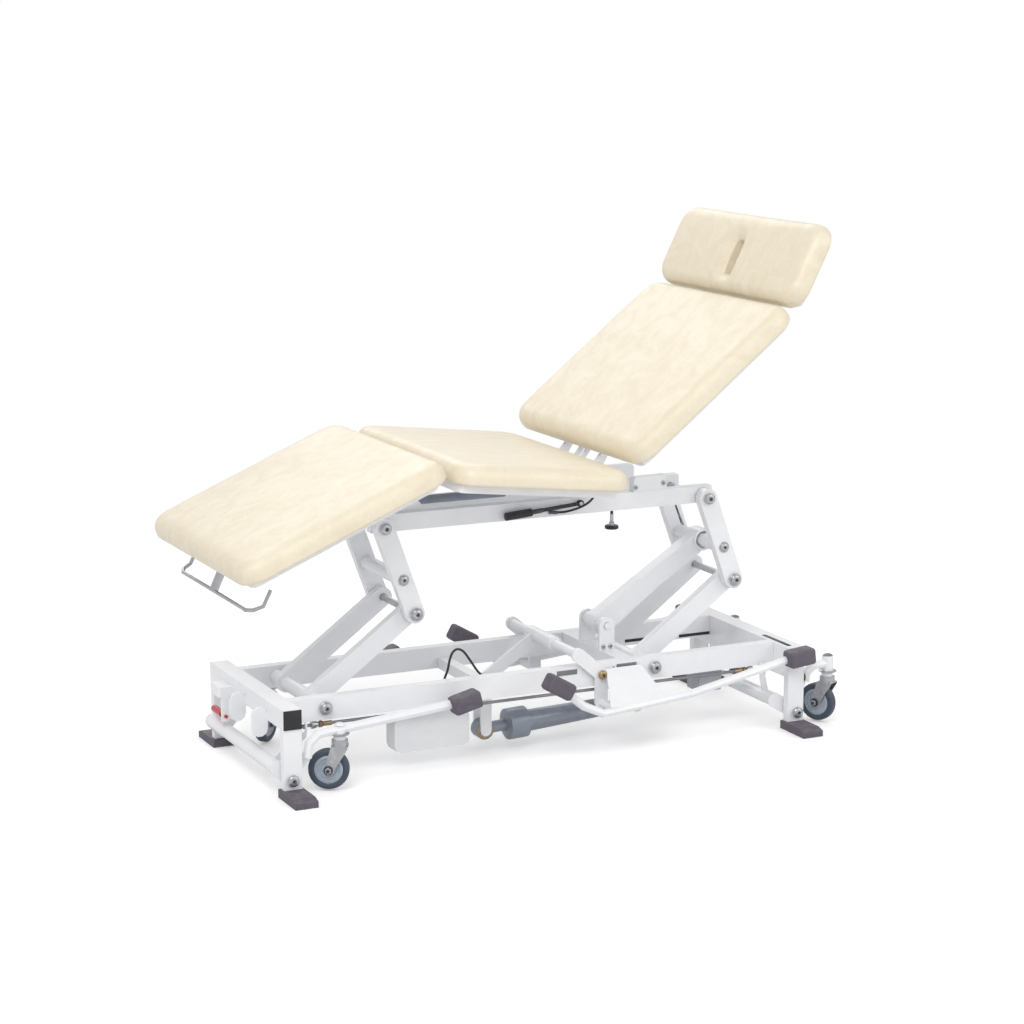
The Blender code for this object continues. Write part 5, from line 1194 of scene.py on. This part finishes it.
class Drive:
    """The bolt in the actuator's eye, and the junction box's gland, lid and screws."""

    eye_x, eye_z, eye_wall = 0.6016, 0.0594, 0.017
    gland_z, gland_sink = 0.022, 0.0008
    lid_inset_x, lid_inset_z, lid_sink, lid_thick, lid_edge = 0.003, 0.004, 0.0006, 0.0018, 0.0008
    screw_inset, screw_lift = 0.010, 0.0016

    def actuator(self) -> None:
        """Adds the ring and the bolt in the actuator's eye."""
        piece = Fitting("actuator_eye_bolt", "base", Slot.ZINC)
        out = Vector((0, -1, 0))
        seat = reach_node("actuator_body", place(self.eye_x + self.eye_wall, -OUTSIDE_Y, self.eye_z), -out)
        where = aimed(Vector((self.eye_x - MIDDLE_X, seat.y, self.eye_z)), out)
        piece.add(turned(EYE_RING, 36), BRASS, where)
        piece.add(turned(EYE_DISC, 32), DARK_STEEL, where)
        piece.add(prism(*NUT), ZINC, where)
        piece.make()

    def gland(self) -> None:
        """Adds the gland, lid and screws of the junction box."""
        low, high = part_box("junction_box")
        piece = Fitting("junction_gland", "base", Slot.BLACK)
        face = Vector((high.x, (low.y + high.y) / 2, low.z + self.gland_z))
        where = aimed(face - Vector((self.gland_sink, 0, 0)), Vector((1, 0, 0)))
        piece.add(turned(GLAND, 24), BLACK_PLASTIC, where)
        lid = Vector(((low.x + high.x) / 2, low.y, (low.z + high.z) / 2))
        half = Vector(((high.x - low.x) / 2 - self.lid_inset_x, 0, (high.z - low.z) / 2 - self.lid_inset_z))
        inner, outer = Vector((0, self.lid_sink, 0)), Vector((0, -self.lid_thick, 0))
        piece.add(crate(lid - half + inner, lid + half + outer, self.lid_edge), GREY_PLASTIC)
        for x in (low.x + self.screw_inset, high.x - self.screw_inset):
            seat = Vector((x, low.y - self.screw_lift, low.z + self.screw_inset))
            SMALL_HEAD.into(piece, seat, Vector((0, -1, 0)))
        piece.make()

    def build(self) -> None:
        """Makes the drive's fittings."""
        self.actuator()
        self.gland()


def smooth_route(points: tuple[tuple[float, float, float], ...], steps: int) -> list[Vector]:
    """Returns points on a smooth curve through the given ones, in the row frame."""
    knots = [place(*point) for point in points]
    route = []
    for i, (first, last) in enumerate(zip(knots, knots[1:])):
        before, after = knots[max(i - 1, 0)], knots[min(i + 2, len(knots) - 1)]
        for step in range(steps):
            t = step / steps
            square = (2 * before - 5 * first + 4 * last - after) * t ** 2
            cube = (3 * first - before - 3 * last + after) * t ** 3
            route.append(0.5 * (2 * first + (last - before) * t + square + cube))
    return route + [knots[-1]]


@dataclass(frozen=True)
class Cable:
    """A jacketed cable that is held at both ends, on the route of its CAD node.

    Attributes:
        name: The piece's name.
        node: The CAD node that it stands for.
        body: The CAD body that it rides on.
        points: The route on the drawing.
        ferrule: The finish of the fittings at its ends.
        radius: The jacket's radius.
        steps: The number of points on the curve for each point of the route.
    """

    name: str
    node: str
    body: str
    points: tuple[tuple[float, float, float], ...]
    ferrule: Finish
    radius: float = 0.003
    steps: int = 4

    def build(self) -> None:
        """Makes the cable and the ferrules on both ends."""
        route = smooth_route(self.points, self.steps)
        curve = bpy.data.curves.new(self.name, "CURVE")
        curve.dimensions = "3D"
        curve.bevel_depth = self.radius
        curve.bevel_resolution = 3
        curve.use_fill_caps = True
        spline = curve.splines.new("POLY")
        spline.points.add(len(route) - 1)
        for knot, point in zip(spline.points, route):
            knot.co = (*point, 1.0)
        spline.use_smooth = True
        curve.materials.append(BLACK_PLASTIC.material())
        cable = put_in_scene(self.name, curve)
        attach(cable, self.body)
        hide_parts(self.node)
        r = self.radius
        ends = Fitting(f"{self.name}_ferrules", self.body, Slot.ZINC)
        sleeve = [(0, 0), (r + 0.0014, 0), (r + 0.0022, 0.001), (r + 0.0022, 0.006), (r + 0.0012, 0.0075),
                  (r + 0.0012, 0.020), (r + 0.0004, 0.0215), (0, 0.0215)]
        for point, onward in ((route[0], route[1]), (route[-1], route[-2])):
            ends.add(turned(sleeve, 20), self.ferrule, aimed(point, onward - point))
        ferrules = ends.make(sharp=50.0)


LEVER_SLEEVE: Profile = [(0, 0), (0.0062, 0), (0.0062, 0.030), (0.0050, 0.0315), (0, 0.0315)]
KNOB_STEM: Profile = [(0, 0), (0.0075, 0), (0.0070, 0.008), (0.0046, 0.010), (0.0046, 0.030), (0, 0.030)]


class Controls:
    """The lever's ribbed grip and sleeve, the clamp knob's rim and stem, and the back hinge's springs."""

    grip_end, pivot, lever_y = (0.654, 0.605), (0.863, 0.622), -0.116
    grip_length, grip_radius, ribs = 0.072, 0.0105, 9
    knob_place, knob_rim, stem_lift = (0.968, -0.087, 0.547), (0.0178, 0.0062, 22, 0.0007), 0.004
    spring_place, spring_pitch, spring_radius, spring_coils = (0.915, 0.1065, 0.708), 0.0032, 0.0085, 6
    spring_groove, spring_end = 0.0010, 0.0012

    def grip(self) -> None:
        """Adds the grip's ribs and the steel sleeve beyond it."""
        start = place(self.grip_end[0], self.lever_y, self.grip_end[1])
        along = (place(self.pivot[0], self.lever_y, self.pivot[1]) - start).normalized()
        piece = Fitting("lever_grip", "lever", Slot.BLACK)
        r, pitch = self.grip_radius, self.grip_length / self.ribs
        profile = [(0, -0.0015), (r * 0.7, -0.0012), (r * 0.95, 0.0)]
        for i in range(self.ribs):
            profile += [(r, (i + 0.2) * pitch), (r, (i + 0.7) * pitch), (r * 0.9, (i + 0.8) * pitch),
                        (r * 0.9, (i + 0.98) * pitch)]
        profile += [(r * 0.8, self.grip_length + 0.001), (0, self.grip_length + 0.001)]
        piece.add(turned(profile, 28), BLACK_PLASTIC, aimed(start, along))
        piece.add(turned(LEVER_SLEEVE, 24), DARK_STEEL, aimed(start + along * self.grip_length, along))
        piece.make(sharp=30.0)

    def knob(self) -> None:
        """Adds the knob's faceted rim and the steel stem."""
        piece = Fitting("knob_rim", "knob", Slot.BLACK)
        middle = place(*self.knob_place)
        low = middle - Vector((0, 0, self.knob_rim[1] / 2))
        piece.add(prism(*self.knob_rim), BLACK_PLASTIC, Matrix.Translation(low))
        piece.add(turned(KNOB_STEM, 24), ZINC, Matrix.Translation(middle + Vector((0, 0, self.stem_lift))))
        piece.make()

    def springs(self) -> None:
        """Winds a dark spring beside each lug of the back hinge."""
        radius, pitch, coils = self.spring_radius, self.spring_pitch, self.spring_coils
        groove, end = radius - self.spring_groove, radius - self.spring_end
        profile = [(0, 0), (end, 0)]
        for i in range(coils):
            profile += [(groove, (i + 0.1) * pitch), (radius, (i + 0.35) * pitch),
                        (radius, (i + 0.65) * pitch), (groove, (i + 0.9) * pitch)]
        profile += [(end, coils * pitch), (0, coils * pitch)]
        x, y, z = self.spring_place
        for side in BOTH_SIDES:
            piece = Fitting(f"hinge_spring_{side.name.lower()}", "upper_frame", Slot.BLACK)
            where = aimed(place(x, side.value * y, z), Vector((0, side.value, 0)))
            piece.add(turned(profile, 28), DARK_STEEL, where)
            piece.make(sharp=60.0)

    def build(self) -> None:
        """Makes the controls' fittings."""
        self.grip()
        self.knob()
        self.springs()


CABLES = (
    Cable("drive_cable", "base_cable", "base", (
        (0.4700, -0.1250, 0.1350), (0.4705, -0.1262, 0.1600), (0.4730, -0.1275, 0.1850),
        (0.4790, -0.1285, 0.2100), (0.4885, -0.1290, 0.2340), (0.4945, -0.1290, 0.2600),
        (0.5030, -0.1285, 0.2780), (0.5170, -0.1270, 0.2840), (0.5330, -0.1250, 0.2760),
        (0.5470, -0.1225, 0.2590), (0.5610, -0.1205, 0.2390), (0.5750, -0.1190, 0.2190),
        (0.5900, -0.1178, 0.2050), (0.6000, -0.1175, 0.1980)), BRASS),
    Cable("lever_cable", "release_cable", "upper_frame", (
        (0.780, -0.1050, 0.6050), (0.790, -0.1085, 0.6040), (0.802, -0.1130, 0.6035),
        (0.816, -0.1190, 0.6045), (0.832, -0.1250, 0.6080), (0.850, -0.1300, 0.6135),
        (0.868, -0.1330, 0.6210), (0.884, -0.1320, 0.6300), (0.896, -0.1260, 0.6390),
        (0.904, -0.1160, 0.6460), (0.908, -0.1055, 0.6500)), DARK_STEEL),
)
FITTING_GROUPS = (Castors(), *SIDE_BOLTS, *STUD_ROWS, BaseTrim(), CastorLinkage(), Drive(), Controls(),
                  *CABLES)


# CAD nodes


def finish_nodes() -> None:
    """Gives every CAD node its slot's finish and softens its facets and edges."""
    for subpart in frame["record"]["subparts"]:
        node = bpy.data.objects.get(subpart["node"])
        if node is None or node.type != "MESH":
            continue
        slot = Slot(subpart["material_slot"])
        node.data.materials.clear()
        node.data.materials.append(NODE_FINISHES.get(subpart["node"], SLOT_FINISHES[slot]).material())
        for polygon in node.data.polygons:
            polygon.use_smooth = True
        weld = node.modifiers.new("weld", "WELD")
        weld.merge_threshold = WELD_REACH
        flat = node.modifiers.new("flat", "DECIMATE")
        flat.decimate_type = "DISSOLVE"
        flat.angle_limit = math.radians(FLAT_ANGLE)
        edge = node.modifiers.new("edge", "BEVEL")
        edge.width = EDGE_WIDTH
        edge.segments = ROUND_STEPS
        edge.limit_method = "ANGLE"
        edge.angle_limit = math.radians(EDGE_ANGLE)
        edge.harden_normals = False
        even = node.modifiers.new("even", "WEIGHTED_NORMAL")
        even.keep_sharp = True


# Stage

LAMP_AIM = Vector((0.0, 0.0, 0.5))


@dataclass(frozen=True)
class Lamp:
    """An area light that points at the table's middle."""

    name: str
    place: tuple[float, float, float]
    size: float
    power: float

    def build(self) -> None:
        """Adds the light."""
        data = bpy.data.lights.new(self.name, "AREA")
        data.size = self.size
        data.energy = self.power
        lamp = put_in_scene(self.name, data)
        turn = (LAMP_AIM - Vector(self.place)).to_track_quat("-Z", "Y")
        lamp.matrix_world = Matrix.Translation(self.place) @ turn.to_matrix().to_4x4()


LAMPS = (
    Lamp("key_light", (-3.2, -3.6, 5.2), 3.2, 165.0),
    Lamp("fill_light", (3.6, -4.2, 3.0), 3.5, 60.0),
    Lamp("back_light", (1.0, 4.5, 4.0), 3.5, 60.0),
)
WORLD_LEVEL = 0.72
FLOOR_SIZE = 30.0
FLOOR_COLOUR = (0.9, 0.9, 0.9, 1)
FLOOR_ROUGHNESS = 0.9
FLOOR_LIFT = 0.22
FLOOR_BOUNCE = (0.8, 0.8, 0.8, 1)
FLOOR_FADE = (1.3, 3.2)
CAMERA_PLACE = (-2.801, -5.849, 1.872)
CAMERA_TILT, CAMERA_TURN = 78.83, -25.665
CAMERA_LENS, CAMERA_SENSOR = 91.57, 36.0


def mix_shaders(tree: bpy.types.NodeTree, share: bpy.types.NodeSocket, first: bpy.types.NodeSocket,
                second: bpy.types.NodeSocket) -> bpy.types.NodeSocket:
    """Mixes two shaders by a share of the second and returns the result."""
    node = tree.nodes.new("ShaderNodeMixShader")
    tree.links.new(share, node.inputs["Fac"])
    tree.links.new(first, node.inputs[1])
    tree.links.new(second, node.inputs[2])
    return node.outputs["Shader"]


def build_floor() -> None:
    """Lays a floor that keeps the table's soft shadow and turns white away from it.

    The lift and the white are seen by the camera only, so that they don't light the table from below.
    """
    work = bmesh.new()
    bmesh.ops.create_grid(work, x_segments=1, y_segments=1, size=FLOOR_SIZE)
    floor = put_in_scene("floor", free_shape(work))
    material = bpy.data.materials.new("floor_white")
    material.use_nodes = True
    tree = material.node_tree
    shader = tree.nodes["Principled BSDF"]
    for socket, value in (("Base Color", FLOOR_COLOUR), ("Roughness", FLOOR_ROUGHNESS),
                          ("Emission Color", WHITE), ("Emission Strength", FLOOR_LIFT)):
        shader.inputs[socket].default_value = value
    coordinates = tree.nodes.new("ShaderNodeTexCoord")
    away = tree.nodes.new("ShaderNodeVectorMath")
    away.operation = "LENGTH"
    tree.links.new(coordinates.outputs["Object"], away.inputs[0])
    fade = EffectGroup.ramp(tree, away.outputs["Value"], *FLOOR_FADE)
    white = tree.nodes.new("ShaderNodeEmission")
    white.inputs["Color"].default_value = WHITE
    faded = mix_shaders(tree, fade, shader.outputs["BSDF"], white.outputs["Emission"])
    plain = tree.nodes.new("ShaderNodeBsdfDiffuse")
    plain.inputs["Color"].default_value = FLOOR_BOUNCE
    seen = tree.nodes.new("ShaderNodeLightPath")
    shown = mix_shaders(tree, seen.outputs["Is Camera Ray"], plain.outputs["BSDF"], faded)
    tree.links.new(shown, tree.nodes["Material Output"].inputs["Surface"])
    floor.data.materials.append(material)


def build_world() -> None:
    """Lights the table from all sides and shows white behind it."""
    world = bpy.data.worlds.new("studio")
    bpy.context.scene.world = world
    world.use_nodes = True
    tree = world.node_tree
    tree.nodes.clear()
    light, white = (tree.nodes.new("ShaderNodeBackground") for _ in range(2))
    for node, strength in ((light, WORLD_LEVEL), (white, 1.0)):
        node.inputs["Color"].default_value = WHITE
        node.inputs["Strength"].default_value = strength
    seen = tree.nodes.new("ShaderNodeLightPath")
    shown = mix_shaders(tree, seen.outputs["Is Camera Ray"], light.outputs["Background"],
                        white.outputs["Background"])
    leave = tree.nodes.new("ShaderNodeOutputWorld")
    tree.links.new(shown, leave.inputs["Surface"])


def build_camera() -> None:
    """Stands the camera where the photograph was taken from."""
    data = bpy.data.cameras.new("camera")
    data.lens = CAMERA_LENS
    data.sensor_width = CAMERA_SENSOR
    camera = put_in_scene("camera", data)
    camera.location = CAMERA_PLACE
    camera.rotation_euler = (math.radians(CAMERA_TILT), 0, math.radians(CAMERA_TURN))
    bpy.context.scene.camera = camera


def main() -> None:
    """Builds the looks."""
    logging.basicConfig(level=logging.INFO, format="%(name)s: %(message)s")
    bpy.context.scene.view_settings.view_transform = "Standard"
    finish_nodes()
    for pad in PADS:
        pad.build()
    for group in FITTING_GROUPS:
        group.build()
    build_floor()
    build_world()
    build_camera()
    for lamp in LAMPS:
        lamp.build()


if __name__ == "__main__":
    main()
